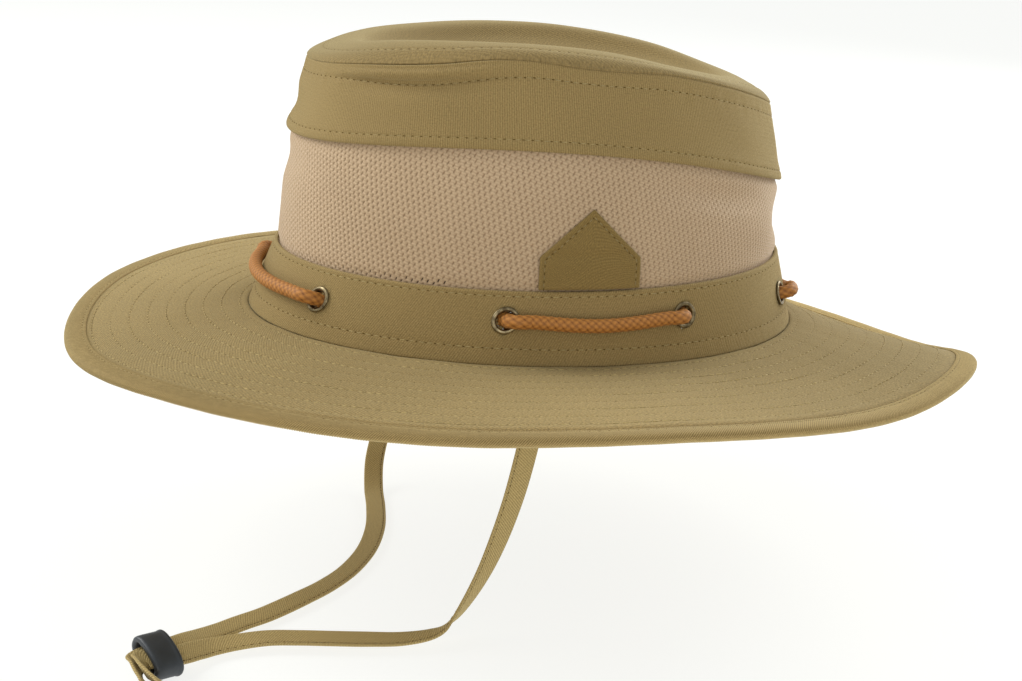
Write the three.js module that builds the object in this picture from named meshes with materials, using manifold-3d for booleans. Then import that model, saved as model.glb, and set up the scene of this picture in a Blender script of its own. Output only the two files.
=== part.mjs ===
// Outback hat of cotton twill with a mesh crown, a braided cord threaded through eyelets in its
// band, and a flat chin strap with a slider.
//
// Units are millimetres and +Z is up. The hat faces -Y, so +X is the wearer's left. The origin is
// the centre of the head opening, level with the seam between brim and crown.
//
// A bearing runs round the hat in degrees: 0 is the front, 90 the wearer's left, 180 the back.
// A level runs up the crown wall: 0 is the brim seam, 1 the top of the band, 2 the hem of the
// crown band and 3 the seam of the tip.
import * as THREE from 'three';
import { mergeVertices } from 'three/addons/utils/BufferGeometryUtils.js';
import Module from 'manifold-3d';

// ---- driving sizes ----
const bearingCount = 48;
const clearance = 0.3;
const twillWall = 1.6;
const meshWall = 1.2;
const brimWall = 2.0;
const brimTongue = 0.8;
const bindingWall = 1.0;
const bindingWidth = 7.5;
const seamAllowance = 5.5;
const tabWall = 1.1;
const cordDiameter = 5.0;
const strapWidth = 8.0;
const strapThickness = 1.1;

// ---- colours of the materials ----
const twillColour = '#9a8656';
const meshColour = '#bd9c7c';
const cordColour = '#c0762f';
const brassColour = '#7b6a48';
const rubberColour = '#2a3037';

// The crown wall's rings. Each is an oval: half its width across the head, half its length along
// it, how far its centre lies behind the origin, its height, how much the front is raised and the
// back lowered (tilt), and how much front and back are raised and the sides lowered (saddle).
const crownRings = [
  { name: 'brim seam', height: 0, halfWidth: 85.5, halfLength: 105, centre: 0, tilt: 0, saddle: 0 },
  { name: 'band top', height: 24.9, halfWidth: 82.4, halfLength: 96.5, centre: 0.5, tilt: -2, saddle: 0 },
  { name: 'hem', height: 64.3, halfWidth: 76.2, halfLength: 94.3, centre: 1.8, tilt: 7, saddle: -5.8 },
  { name: 'tip seam', height: 91.7, halfWidth: 72.3, halfLength: 87.5, centre: 1.4, tilt: 5.7, saddle: -6.6 },
];

// Soft folds of the crown wall: where the middle lies, half the spread each way, and how far the
// cloth sinks in there. A negative depth swells out.
const crownFolds = [
  { name: 'dent under the hem, left back', bearing: 117, level: 1.74, turn: 24, rise: 0.2, depth: 2.2 },
  { name: 'facet, left back', bearing: 160, level: 1.5, turn: 22, rise: 0.42, depth: 2.6 },
  { name: 'swell beside the facet', bearing: 138, level: 1.45, turn: 16, rise: 0.4, depth: -1.2 },
  { name: 'hollow of the crown band, front', bearing: 345, level: 2.5, turn: 40, rise: 0.36, depth: 1.2 },
  { name: 'hollow under the hem, front', bearing: 350, level: 1.74, turn: 40, rise: 0.24, depth: 1.9 },
  { name: 'crease under the tip seam, left front', bearing: 47, level: 2.72, turn: 30, rise: 0.14, depth: 1.8 },
  { name: 'dent, right front', bearing: 318, level: 1.66, turn: 26, rise: 0.3, depth: 1.8 },
  { name: 'dent, right back', bearing: 236, level: 1.6, turn: 30, rise: 0.34, depth: 2.4 },
  { name: 'crease under the tip seam, right back', bearing: 222, level: 2.72, turn: 30, rise: 0.14, depth: 1.2 },
];

// Waves of the tip seam: middle, half the spread and how far down it sags.
const tipSeamWaves = [
  { bearing: 45, turn: 20, drop: 0.5 },
  { bearing: 66, turn: 16, drop: -0.9 },
  { bearing: 88, turn: 18, drop: 1.2 },
];

// The brim's edge by bearing: how far out from the seam, and how far below it.
const brimEdge = [
  { bearing: 0, reach: 66.2, drop: 11.4 },
  { bearing: 30, reach: 67.6, drop: 6.8 },
  { bearing: 60, reach: 69.7, drop: 3.8 },
  { bearing: 90, reach: 70.9, drop: 0.6 },
  { bearing: 120, reach: 70.8, drop: 4.1 },
  { bearing: 150, reach: 71.6, drop: 2.4 },
  { bearing: 180, reach: 68.3, drop: 20.8 },
  { bearing: 210, reach: 68.3, drop: 20.9 },
  { bearing: 240, reach: 69.0, drop: 11.0 },
  { bearing: 270, reach: 70.4, drop: 5.5 },
  { bearing: 300, reach: 70.0, drop: 3.2 },
  { bearing: 330, reach: 67.9, drop: 7.1 },
];

// The crests of the tip either side of its dent, from front to back: the heights on the wearer's
// left and right.
const tipCrests = [
  { y: -90, left: 91, right: 90 },
  { y: -60, left: 97.6, right: 93.8 },
  { y: -30, left: 102, right: 96.6 },
  { y: 0, left: 102.6, right: 100 },
  { y: 30, left: 99.3, right: 100.6 },
  { y: 60, left: 91.8, right: 98 },
  { y: 90, left: 86.6, right: 87.6 },
];
const tipCrestBlend = 40;

// The tip from its seam inwards: the share of the way out from its centre, how much of the way up
// from the seam to the crest it has risen, and how deep the lengthwise dent is there.
const tipRows = [
  { share: 1, risen: 0, dent: 0 },
  { share: 0.965, risen: 0.5, dent: 0 },
  { share: 0.9, risen: 0.82, dent: 0 },
  { share: 0.8, risen: 0.97, dent: 0 },
  { share: 0.67, risen: 1, dent: 0.3 },
  { share: 0.52, risen: 1, dent: 4.0 },
  { share: 0.3, risen: 1, dent: 8.5 },
];
const tipDentDepth = 10;
const tipFlangeLevel = 2.88;

// The mesh panel from its tuck behind the band to its tuck behind the crown band: level, and how
// far out it lies from the bands' outer face.
const tuckInset = twillWall + clearance;
const meshRows = [
  { level: 0.84, out: -tuckInset },
  { level: 1.01, out: -tuckInset },
  { level: 1.09, out: -0.9 },
  { level: 1.4, out: -0.5 },
  { level: 1.66, out: -0.5 },
  { level: 1.86, out: -0.9 },
  { level: 1.97, out: -tuckInset },
  { level: 2.16, out: -tuckInset },
];

// The crown band from its hem to the tip seam: level, and how far out its face lies. The hem's
// swell is relief on its outer face.
const crownBandRows = [
  { level: 2, out: 0 },
  { level: 2.04, out: 0.5, relief: true },
  { level: 2.13, out: 0.4, relief: true },
  { level: 2.3, out: 0 },
  { level: 2.58, out: 0 },
  { level: 2.72, out: 0 },
  { level: 2.86, out: 0 },
  { level: 3, out: 0 },
];

// The eyelets on the wearer's left, mirrored on the right: bearing and level.
const eyelets = [
  { bearing: 27.7, level: 0.54 },
  { bearing: 70.1, level: 0.6 },
  { bearing: 107.7, level: 0.6 },
  { bearing: 147, level: 0.5 },
];
const eyelet = {
  holeRadius: 3.05,
  barrelRadius: 3.55,
  flangeRadius: 5.25,
  flangeThickness: 0.8,
  washerRadius: 4.9,
  washerThickness: 0.6,
  seatGap: 0.45,
  sides: 10,
};

// The braided cord's way through an eyelet, seen along the hole: how far along the band and how
// far out from its outer face.
const cordCrossing = [
  { along: -10, out: -4.8 },
  { along: -6, out: -5.5 },
  { along: -3, out: -5.6 },
  { along: -1, out: -4.8 },
  { along: -0.2, out: -2.7 },
  { along: 0.2, out: 1.3 },
  { along: 1, out: 3.4 },
  { along: 3, out: 4.2 },
  { along: 5.8, out: 4.1 },
  { along: 9.5, out: 3.1 },
];
const cordRunOutside = 2.85;
const cordRunInside = -4.6;
const cordRunMargin = 7;
const cordRunStep = 8;
const cordLift = { front: -0.16, side: -0.05, back: -0.3 };
const cordJointBearing = 232;
const cordJointGap = 0.5;

// The five-sided tab that stands on the band at each side, over the mesh.
const tab = { bearing: 86.3, halfTurn: 10.6, shoulderLevel: 1.25, apexLevel: 1.6, baseLevel: 1.02 };
const tabColumns = 8;

// The slider: a short oval sleeve, leaning on its edge. Its place, the way along its hole towards
// the strap's loose loop, and the way across it, towards the edge that rests lower.
const slider = {
  centre: [89.5, -148.7, -92],
  along: [0.42, -0.9, 0.05],
  across: [0.84, 0.34, -0.42],
  holeHalfWidth: 7.6,
  holeHalfHeight: 2.6,
  halfLength: 5,
  sides: 20,
};
const sliderRows = [
  { along: -5, halfWidth: 8.6, halfHeight: 4.3 },
  { along: -4.3, halfWidth: 8.9, halfHeight: 5 },
  { along: -2.7, halfWidth: 8.7, halfHeight: 4.7 },
  { along: 2.8, halfWidth: 8.6, halfHeight: 4.7 },
  { along: 4.4, halfWidth: 8.5, halfHeight: 4.4 },
  { along: 5, halfWidth: 8.2, halfHeight: 3.9 },
];

// The chin strap's centreline from its sewn end on the wearer's left, through the slider, round
// its loose loop, back through the slider and up to its sewn end on the right. Each row holds the
// place and the direction across the strap, towards the edge that is in front where it hangs.
const strapRoute = [
  [77.4, -19.5, 9, 0, -1, 0],
  [78.1, -20, -3, 0, -1, 0],
  [78.5, -20.8, -14, 0, -1, 0],
  [78.6, -22, -26, 0, -1, 0],
  [78.3, -24.5, -40.5, 0.05, -1, 0],
  [78.3, -27.2, -52, 0.15, -0.98, 0.1],
  [78.6, -31, -64, 0.27, -0.94, 0.2],
  [79.2, -35.5, -75, 0.45, -0.85, 0.3],
  [80.3, -41, -84.5, 0.62, -0.65, 0.4],
  [82.7, -47.2, -91, 0.8, -0.45, 0.35],
  [85.8, -54.7, -94.2, 0.95, -0.1, 0.1],
  [86.8, -66, -94.9, 0.97, 0, -0.1],
  [85.4, -78.5, -94.6, 0.98, 0, -0.18],
  [83.1, -90.2, -94.4, 0.98, 0, -0.18],
  [80.6, -100.6, -94.4, 0.98, 0, -0.18],
  [78.4, -111, -94.6, 0.98, 0, -0.2],
  [78.3, -121.6, -95.2, 0.97, 0.05, -0.24],
  [80.4, -130.2, -95.1, 0.95, 0.15, -0.32],
  [84.4, -136.2, -94, 0.9, 0.28, -0.4],
  [89.3, -142, -92.6, 0.84, 0.34, -0.42],
  [91.5, -148, -92, 0.84, 0.34, -0.42],
  [92.9, -153.4, -91.3, 0.84, 0.34, -0.42],
  [94.6, -155, -91.5, 0.65, 0.55, -0.52],
  [97.6, -155.2, -92, 0.05, 0.8, -0.6],
  [101.2, -153.2, -92.6, -0.35, 0.72, -0.6],
  [104.4, -150.4, -93.1, -0.45, 0.72, -0.5],
  [108, -147.9, -93.5, -0.38, 0.8, -0.4],
  [113, -146, -93.8, -0.25, 0.92, -0.25],
  [119, -144.8, -93.9, -0.12, 0.98, -0.12],
  [127, -144.5, -93.9, 0, 1, 0],
  [135, -145.8, -93.7, 0, 1, 0],
  [140.4, -147, -93.9, 0, 1, 0],
  [143.4, -148.6, -95.4, 0, 1, 0],
  [140, -150.2, -97, 0, 1, 0],
  [132.5, -151.4, -97, 0, 1, 0],
  [124.5, -152, -96.9, 0, 1, 0],
  [116, -151.4, -96.6, -0.1, 0.97, -0.12],
  [109, -152, -96, -0.2, 0.92, -0.28],
  [103, -153.7, -95.3, -0.35, 0.8, -0.45],
  [98, -156.3, -94.4, -0.2, 0.8, -0.55],
  [94.4, -157.4, -93.4, 0.2, 0.75, -0.6],
  [91.8, -156.6, -92.6, 0.7, 0.5, -0.5],
  [90.4, -154.2, -92.2, 0.84, 0.34, -0.42],
  [87.4, -149.4, -92, 0.84, 0.34, -0.42],
  [84.4, -143.8, -92.1, 0.84, 0.34, -0.42],
  [79.2, -138.2, -92.9, 0.85, 0.4, -0.3],
  [73, -131.8, -94.6, 0.83, 0.5, -0.25],
  [67.4, -124.7, -95.7, 0.8, 0.52, -0.22],
  [62.3, -117.2, -96, 0.8, 0.52, -0.2],
  [57.8, -108.8, -96, 0.8, 0.53, -0.2],
  [52.6, -101.3, -96, 0.8, 0.55, -0.2],
  [46.4, -93.4, -96.1, 0.78, 0.6, -0.18],
  [36.5, -82.2, -96.5, 0.72, 0.68, -0.12],
  [23, -70.5, -96.9, 0.6, 0.8, -0.05],
  [5, -59.5, -97.1, 0.5, 0.87, 0],
  [-16, -51, -97.1, 0.3, 0.95, 0],
  [-38, -45.4, -97.1, 0.2, 0.98, 0],
  [-57, -41.8, -96, 0.15, 0.98, 0],
  [-70, -38.6, -88.5, 0.1, 1, 0],
  [-76, -34.6, -77, 0, 1, 0],
  [-78.2, -30.6, -63, 0, 1, 0],
  [-78.5, -27, -51, 0, 1, 0],
  [-78.6, -24.4, -39, 0, 1, 0],
  [-78.8, -22, -26, 0, 1, 0],
  [-78.5, -20.8, -14, 0, 1, 0],
  [-78.1, -20, -3, 0, 1, 0],
  [-77.4, -19.5, 9, 0, 1, 0],
];

// ---- shared geometry ----
const toRadians = THREE.MathUtils.degToRad;
const bearings = Array.from({ length: bearingCount }, (_, index) => (360 * index) / bearingCount);

function wrapDegrees(angle) {
  return ((((angle + 180) % 360) + 360) % 360) - 180;
}

// A smooth hump of height 1 at 0 that ends at plus and minus 1.
function hump(distance) {
  return Math.abs(distance) < 1 ? 0.5 + 0.5 * Math.cos(Math.PI * distance) : 0;
}

// Catmull-Rom value between b and c.
function smoothBetween(a, b, c, d, share) {
  const slopeB = (c - a) / 2;
  const slopeC = (d - b) / 2;
  const square = share * share;
  const cube = square * share;
  return (2 * cube - 3 * square + 1) * b + (cube - 2 * square + share) * slopeB
    + (3 * square - 2 * cube) * c + (cube - square) * slopeC;
}

// A column of a table whose rows are evenly spaced round the hat.
function roundTable(table, column, bearing) {
  const place = (((bearing % 360) + 360) % 360) / (360 / table.length);
  const row = Math.floor(place);
  const value = (offset) => table[(row + offset + table.length) % table.length][column];
  return smoothBetween(value(-1), value(0), value(1), value(2), place - row);
}

// One column of the crest table, whose rows are evenly spaced along Y.
function crestColumn(side, y) {
  const step = tipCrests[1].y - tipCrests[0].y;
  const last = tipCrests.length - 1;
  const place = THREE.MathUtils.clamp((y - tipCrests[0].y) / step, 0, last - 1e-6);
  const row = Math.floor(place);
  const value = (index) => tipCrests[THREE.MathUtils.clamp(index, 0, last)][side];
  return smoothBetween(value(row - 1), value(row), value(row + 1), value(row + 2), place - row);
}

// The height of the tip without its dent, going over from one crest to the other across the middle.
function crestHeight(x, y) {
  const share = THREE.MathUtils.smoothstep(x, -tipCrestBlend, tipCrestBlend);
  return THREE.MathUtils.lerp(crestColumn('right', y), crestColumn('left', y), share);
}

function ringPoint(ring, bearing) {
  const angle = toRadians(bearing);
  return new THREE.Vector3(
    ring.halfWidth * Math.sin(angle),
    ring.centre - ring.halfLength * Math.cos(angle),
    ring.height + ring.tilt * Math.cos(angle) + ring.saddle * Math.cos(2 * angle),
  );
}

function ringOutward(ring, bearing) {
  const angle = toRadians(bearing);
  return new THREE.Vector3(Math.sin(angle) / ring.halfWidth, -Math.cos(angle) / ring.halfLength, 0).normalize();
}

function foldDepth(bearing, level) {
  return crownFolds.reduce((sum, fold) => {
    const across = hump(wrapDegrees(bearing - fold.bearing) / fold.turn);
    return sum + fold.depth * across * hump((level - fold.level) / fold.rise);
  }, 0);
}

// A point of the crown wall, out from its outer face by the given distance.
function wallPoint(bearing, level, out = 0) {
  const lower = THREE.MathUtils.clamp(Math.floor(level), 0, crownRings.length - 2);
  const share = level - lower;
  const point = ringPoint(crownRings[lower], bearing).lerp(ringPoint(crownRings[lower + 1], bearing), share);
  const outward = ringOutward(crownRings[lower], bearing);
  point.addScaledVector(outward, out - foldDepth(bearing, level));
  const sag = tipSeamWaves.reduce((sum, wave) => (
    sum + wave.drop * hump(wrapDegrees(bearing - wave.bearing) / wave.turn)
  ), 0);
  point.z -= sag * THREE.MathUtils.smoothstep(level, 2.4, 3);
  return point;
}

// Directions at a point of the wall: out from it, along it with the bearing, and up it.
function wallFrame(bearing, level) {
  const along = wallPoint(bearing + 1, level).sub(wallPoint(bearing - 1, level)).normalize();
  const up = wallPoint(bearing, level + 0.05).sub(wallPoint(bearing, level - 0.05)).normalize();
  const out = new THREE.Vector3().crossVectors(along, up).normalize();
  return { out, along, up };
}

// A closed solid over rows of points. A row is a closed loop, or one point at a pole. A ring-shaped
// section runs from its last row back to its first.
function loft(rows, ringSection = false) {
  const positions = [];
  const starts = rows.map((row) => {
    const start = positions.length / 3;
    row.forEach((point) => positions.push(point.x, point.y, point.z));
    return start;
  });
  const triangles = [];
  const joinCount = ringSection ? rows.length : rows.length - 1;
  for (let index = 0; index < joinCount; index += 1) {
    const next = (index + 1) % rows.length;
    const size = Math.max(rows[index].length, rows[next].length);
    for (let side = 0; side < size; side += 1) {
      const corner = (row, step) => starts[row] + (rows[row].length === 1 ? 0 : (side + step) % size);
      if (rows[index].length > 1) {
        triangles.push(corner(index, 0), corner(index, 1), corner(next, 0));
      }
      if (rows[next].length > 1) {
        triangles.push(corner(index, 1), corner(next, 1), corner(next, 0));
      }
    }
  }
  return facingOut(positions, triangles);
}

// Turns the triangles over if the solid's volume comes out negative.
function facingOut(positions, triangles) {
  const corner = (index) => new THREE.Vector3().fromArray(positions, 3 * index);
  let volume = 0;
  for (let index = 0; index < triangles.length; index += 3) {
    const [a, b, c] = triangles.slice(index, index + 3).map(corner);
    volume += a.dot(b.cross(c));
  }
  const geometry = new THREE.BufferGeometry();
  geometry.setAttribute('position', new THREE.Float32BufferAttribute(positions, 3));
  geometry.setIndex(volume < 0 ? [...triangles].reverse() : triangles);
  return geometry;
}

function loopAt(pointOfBearing) {
  return bearings.map(pointOfBearing);
}

function mean(points) {
  return points.reduce((sum, point) => sum.add(point), new THREE.Vector3()).divideScalar(points.length);
}

// A solid swept through stations, each a closed loop of points, with flat ends.
function sweep(stations) {
  return loft([[mean(stations[0])], ...stations, [mean(stations[stations.length - 1])]]);
}

// A band of cloth round the crown: rows of level and outer offset, with one wall thickness. Rows
// marked as relief shape the outer face alone.
function clothBand(rows, wall) {
  const outer = rows.map((row) => loopAt((bearing) => wallPoint(bearing, row.level, row.out)));
  const plain = rows.filter((row) => !row.relief);
  const inner = plain.map((row) => loopAt((bearing) => wallPoint(bearing, row.level, row.out - wall)));
  return loft([...outer, ...inner.reverse()], true);
}

// ---- booleans ----
const wasm = await Module();
wasm.setup();

function toManifold(geometry) {
  const bare = geometry.clone();
  bare.deleteAttribute('normal');
  bare.deleteAttribute('uv');
  const merged = mergeVertices(bare, 1e-4);
  return new wasm.Manifold(new wasm.Mesh({
    numProp: 3,
    vertProperties: new Float32Array(merged.attributes.position.array),
    triVerts: new Uint32Array(merged.index.array),
  }));
}

function fromManifold(solid) {
  const mesh = solid.getMesh();
  const geometry = new THREE.BufferGeometry();
  geometry.setAttribute('position', new THREE.Float32BufferAttribute(mesh.vertProperties, 3));
  geometry.setIndex(new THREE.Uint32BufferAttribute(mesh.triVerts, 1));
  return geometry;
}

// ---- materials ----
const finishes = {
  twill: { color: twillColour, roughness: 0.85, metalness: 0 },
  mesh: { color: meshColour, roughness: 0.8, metalness: 0 },
  cord: { color: cordColour, roughness: 0.6, metalness: 0 },
  brass: { color: brassColour, roughness: 0.4, metalness: 1 },
  rubber: { color: rubberColour, roughness: 0.5, metalness: 0 },
};

function piece(name, geometry, finish) {
  const mesh = new THREE.Mesh(geometry, new THREE.MeshStandardMaterial(finishes[finish]));
  mesh.geometry.computeVertexNormals();
  mesh.name = name;
  return mesh;
}

// ---- brim ----
// A point of the brim, the given distance out from the seam and above its middle plane.
function brimPoint(bearing, distance, above) {
  const seam = wallPoint(bearing, 0);
  const outward = ringOutward(crownRings[0], bearing);
  const reach = roundTable(brimEdge, 'reach', bearing);
  const share = Math.max(0, distance / reach);
  const fall = roundTable(brimEdge, 'drop', bearing) * share * (0.8 + 0.2 * share);
  seam.addScaledVector(outward, distance);
  seam.z += above - fall - clearance - brimWall / 2;
  return seam;
}

function brimReach(bearing) {
  return roundTable(brimEdge, 'reach', bearing);
}

function makeBrim() {
  const flangeOuter = -(twillWall + clearance);
  const flangeInner = flangeOuter - twillWall;
  const flangeLevel = seamAllowance / crownRings[1].height;
  const face = brimWall / 2;
  const tongue = brimTongue / 2;
  const shoulder = (bearing) => brimReach(bearing) - bindingWidth - clearance;
  const shares = [0, 0.3, 0.6, 1];
  const topRows = shares.map((share) => loopAt((b) => brimPoint(b, share * shoulder(b), face)));
  const undersideRows = shares.map((share) => loopAt((b) => brimPoint(b, share * shoulder(b), -face)));
  return loft([
    loopAt((b) => wallPoint(b, flangeLevel, flangeOuter)),
    loopAt((b) => brimPoint(b, flangeOuter, face)),
    ...topRows,
    loopAt((b) => brimPoint(b, shoulder(b), tongue)),
    loopAt((b) => brimPoint(b, brimReach(b) - bindingWall - clearance, tongue)),
    loopAt((b) => brimPoint(b, brimReach(b) - bindingWall - clearance, -tongue)),
    loopAt((b) => brimPoint(b, shoulder(b), -tongue)),
    ...undersideRows.reverse(),
    loopAt((b) => brimPoint(b, flangeInner, -face)),
    loopAt((b) => wallPoint(b, flangeLevel, flangeInner)),
  ], true);
}

// Bias tape folded round the brim's edge.
function makeBinding() {
  const inside = brimTongue / 2 + clearance - 0.05;
  const outside = inside + bindingWall;
  const row = (inset, above) => loopAt((b) => brimPoint(b, brimReach(b) - inset, above));
  return loft([
    row(bindingWidth, outside),
    row(1.6, outside),
    row(0, 0.6),
    row(0, -0.6),
    row(1.6, -outside),
    row(bindingWidth, -outside),
    row(bindingWidth, -inside),
    row(bindingWall, -inside),
    row(bindingWall, inside),
    row(bindingWidth, inside),
  ], true);
}

// ---- band, mesh and crown ----
const allEyelets = [
  ...eyelets,
  ...eyelets.map((place) => ({ bearing: 360 - place.bearing, level: place.level })).reverse(),
];

function facing(direction) {
  return new THREE.Quaternion().setFromUnitVectors(new THREE.Vector3(0, 1, 0), direction);
}

function makeHatBand() {
  const rows = [0, 0.3, 0.88, 1].map((level) => ({ level, out: 0 }));
  const holeRadius = eyelet.barrelRadius + clearance;
  const drilled = allEyelets.reduce((band, place) => {
    const drill = new THREE.CylinderGeometry(holeRadius, holeRadius, 12, eyelet.sides);
    drill.applyQuaternion(facing(wallFrame(place.bearing, place.level).out));
    drill.translate(...wallPoint(place.bearing, place.level).toArray());
    return band.subtract(toManifold(drill));
  }, toManifold(clothBand(rows, twillWall)));
  return fromManifold(drilled);
}

function makeMeshPanel() {
  return clothBand(meshRows, meshWall);
}

function makeCrownBand() {
  return clothBand(crownBandRows, twillWall);
}

// A point on the tip, by its share of the way out from its centre to its edge.
function tipPoint(bearing, row, below) {
  const edge = wallPoint(bearing, 3, -0.1);
  const centre = new THREE.Vector3(0, crownRings[3].centre, 0);
  const plan = new THREE.Vector3().lerpVectors(centre, edge, row.share);
  const rim = edge.z + clearance + twillWall * 0.7;
  plan.z = THREE.MathUtils.lerp(rim, crestHeight(plan.x, plan.y), row.risen) - row.dent - below;
  return plan;
}

function makeCrownTip() {
  const flangeOuter = -(twillWall + clearance);
  const flangeInner = flangeOuter - twillWall;
  const lift = new THREE.Vector3(0, 0, clearance);
  const centre = new THREE.Vector3(0, crownRings[3].centre, crestHeight(0, 0) - tipDentDepth);
  const top = tipRows.map((row) => loopAt((b) => tipPoint(b, row, 0)));
  const undersideRows = tipRows.filter((row) => row.share <= 0.9);
  const underside = undersideRows.map((row) => loopAt((b) => tipPoint(b, row, twillWall)));
  return loft([
    [centre.clone().sub(new THREE.Vector3(0, 0, twillWall))],
    ...underside.reverse(),
    loopAt((b) => wallPoint(b, 2.97, flangeInner)),
    loopAt((b) => wallPoint(b, tipFlangeLevel, flangeInner)),
    loopAt((b) => wallPoint(b, tipFlangeLevel, flangeOuter)),
    loopAt((b) => wallPoint(b, 3, flangeOuter).add(lift)),
    loopAt((b) => wallPoint(b, 3, -0.1).add(lift)),
    ...top,
    [centre],
  ]);
}

function makeSideTab(middle) {
  const stations = Array.from({ length: tabColumns + 1 }, (_, column) => {
    const across = (2 * column) / tabColumns - 1;
    const bearing = middle + across * tab.halfTurn;
    const roof = THREE.MathUtils.lerp(tab.apexLevel, tab.shoulderLevel, Math.abs(across));
    const levels = [0, 0.25, 0.5, 0.75, 1].map((share) => THREE.MathUtils.lerp(tab.baseLevel, roof, share));
    const outer = levels.map((level) => wallPoint(bearing, level, tabWall - 0.1));
    const inner = levels.map((level) => wallPoint(bearing, level, -0.1));
    return [...outer, ...inner.reverse()];
  });
  return sweep(stations);
}

// ---- eyelets and braided cord ----
function makeEyelet(place) {
  const face = eyelet.seatGap;
  const back = -twillWall - eyelet.seatGap;
  const profile = [
    [eyelet.holeRadius, back - eyelet.washerThickness],
    [eyelet.washerRadius, back - eyelet.washerThickness],
    [eyelet.washerRadius, back],
    [eyelet.barrelRadius, back],
    [eyelet.barrelRadius, face],
    [eyelet.flangeRadius, face],
    [eyelet.flangeRadius - 0.7, face + eyelet.flangeThickness],
    [eyelet.holeRadius + 0.3, face + eyelet.flangeThickness],
    [eyelet.holeRadius, face + 0.2],
    [eyelet.holeRadius, back - eyelet.washerThickness],
  ].map(([radius, height]) => new THREE.Vector2(radius, height));
  const mesh = piece(place.name, new THREE.LatheGeometry(profile, eyelet.sides), 'brass');
  mesh.quaternion.copy(facing(wallFrame(place.bearing, place.level).out));
  mesh.position.copy(wallPoint(place.bearing, place.level));
  return mesh;
}

function cordPoint(bearing, level, out) {
  return wallPoint(bearing, level).addScaledVector(wallFrame(bearing, level).out, out);
}

// The cord's way through one eyelet, outwards or back in.
function crossingPoints(place, outwards) {
  const frame = wallFrame(place.bearing, place.level);
  const hole = wallPoint(place.bearing, place.level);
  const steps = outwards ? cordCrossing : [...cordCrossing].reverse();
  const heading = outwards ? 1 : -1;
  return steps.map((step) => {
    const along = heading * step.along;
    const straight = hole.clone().addScaledVector(frame.along, along).addScaledVector(frame.out, step.out);
    return followWall(straight, place, along);
  });
}

// Brings a point that left an eyelet in a straight line back along the curved band.
function followWall(point, place, along) {
  const degreesPerMillimetre = 2 / wallPoint(place.bearing + 1, place.level).distanceTo(
    wallPoint(place.bearing - 1, place.level),
  );
  const onWall = wallPoint(place.bearing + along * degreesPerMillimetre, place.level);
  const straight = wallPoint(place.bearing, place.level).addScaledVector(
    wallFrame(place.bearing, place.level).along,
    along,
  );
  return point.add(onWall.sub(straight));
}

function runPoints(from, to, out, lift) {
  const turn = (to.bearing - from.bearing + 360) % 360;
  const count = Math.max(1, Math.round((turn - 2 * cordRunMargin) / cordRunStep));
  return Array.from({ length: count }, (_, index) => {
    const share = (index + 1) / (count + 1);
    const bearing = from.bearing + THREE.MathUtils.lerp(cordRunMargin, turn - cordRunMargin, share);
    const level = THREE.MathUtils.lerp(from.level, to.level, share) + lift * Math.sin(Math.PI * share);
    return cordPoint(bearing, level, out);
  });
}

function cordCentreline() {
  const order = [...allEyelets.slice(5), ...allEyelets.slice(0, 5)];
  const joint = { bearing: cordJointBearing, level: 0.56 };
  const lifts = [cordLift.side, 0, cordLift.front, 0, cordLift.side, 0, cordLift.back];
  const points = [cordPoint(joint.bearing, joint.level, cordRunInside)];
  order.forEach((place, index) => {
    const outwards = index % 2 === 0;
    points.push(...crossingPoints(place, outwards));
    if (index < order.length - 1) {
      const out = outwards ? cordRunOutside : cordRunInside;
      points.push(...runPoints(place, order[index + 1], out, lifts[index]));
    }
  });
  const first = points[0];
  const inbound = points[points.length - 1];
  const end = first.clone().add(inbound.clone().sub(first).setLength(cordJointGap));
  points.push(end);
  return points;
}

// A round tube through points, with sections square to its way and no twist.
function roundTube(points, radius, sides) {
  const tangents = points.map((_, index) => {
    const before = points[Math.max(index - 1, 0)];
    const after = points[Math.min(index + 1, points.length - 1)];
    return after.clone().sub(before).normalize();
  });
  let across = new THREE.Vector3(0, 0, 1);
  const stations = points.map((point, index) => {
    across = across.clone().addScaledVector(tangents[index], -across.dot(tangents[index])).normalize();
    const other = new THREE.Vector3().crossVectors(tangents[index], across);
    return Array.from({ length: sides }, (_, side) => {
      const angle = (2 * Math.PI * side) / sides;
      return point.clone().addScaledVector(across, radius * Math.cos(angle))
        .addScaledVector(other, radius * Math.sin(angle));
    });
  });
  return sweep(stations);
}

// ---- chin strap and slider ----
function makeStrap() {
  const places = new THREE.CatmullRomCurve3(strapRoute.map(([x, y, z]) => new THREE.Vector3(x, y, z)));
  const directions = new THREE.CatmullRomCurve3(
    strapRoute.map(([, , , x, y, z]) => new THREE.Vector3(x, y, z)),
  );
  const stations = strapRoute.map((_, row) => {
    const share = row / (strapRoute.length - 1);
    const place = places.getPoint(share);
    const tangent = places.getTangent(share);
    const across = directions.getPoint(share);
    across.addScaledVector(tangent, -across.dot(tangent)).setLength(strapWidth / 2);
    const normal = new THREE.Vector3().crossVectors(across, tangent).setLength(strapThickness / 2);
    return [[1, 1], [1, -1], [-1, -1], [-1, 1]].map(([side, face]) => (
      place.clone().addScaledVector(across, side).addScaledVector(normal, face)
    ));
  });
  return sweep(stations);
}

// A loop of an oval that is squarer than an ellipse, at one place along the slider.
function squaredOval(along, halfWidth, halfHeight, squareness) {
  const soften = (value) => Math.sign(value) * Math.abs(value) ** (2 / squareness);
  return Array.from({ length: slider.sides }, (_, side) => {
    const angle = (2 * Math.PI * side) / slider.sides;
    return new THREE.Vector3(
      halfWidth * soften(Math.cos(angle)),
      -along,
      halfHeight * soften(Math.sin(angle)),
    );
  });
}

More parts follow.
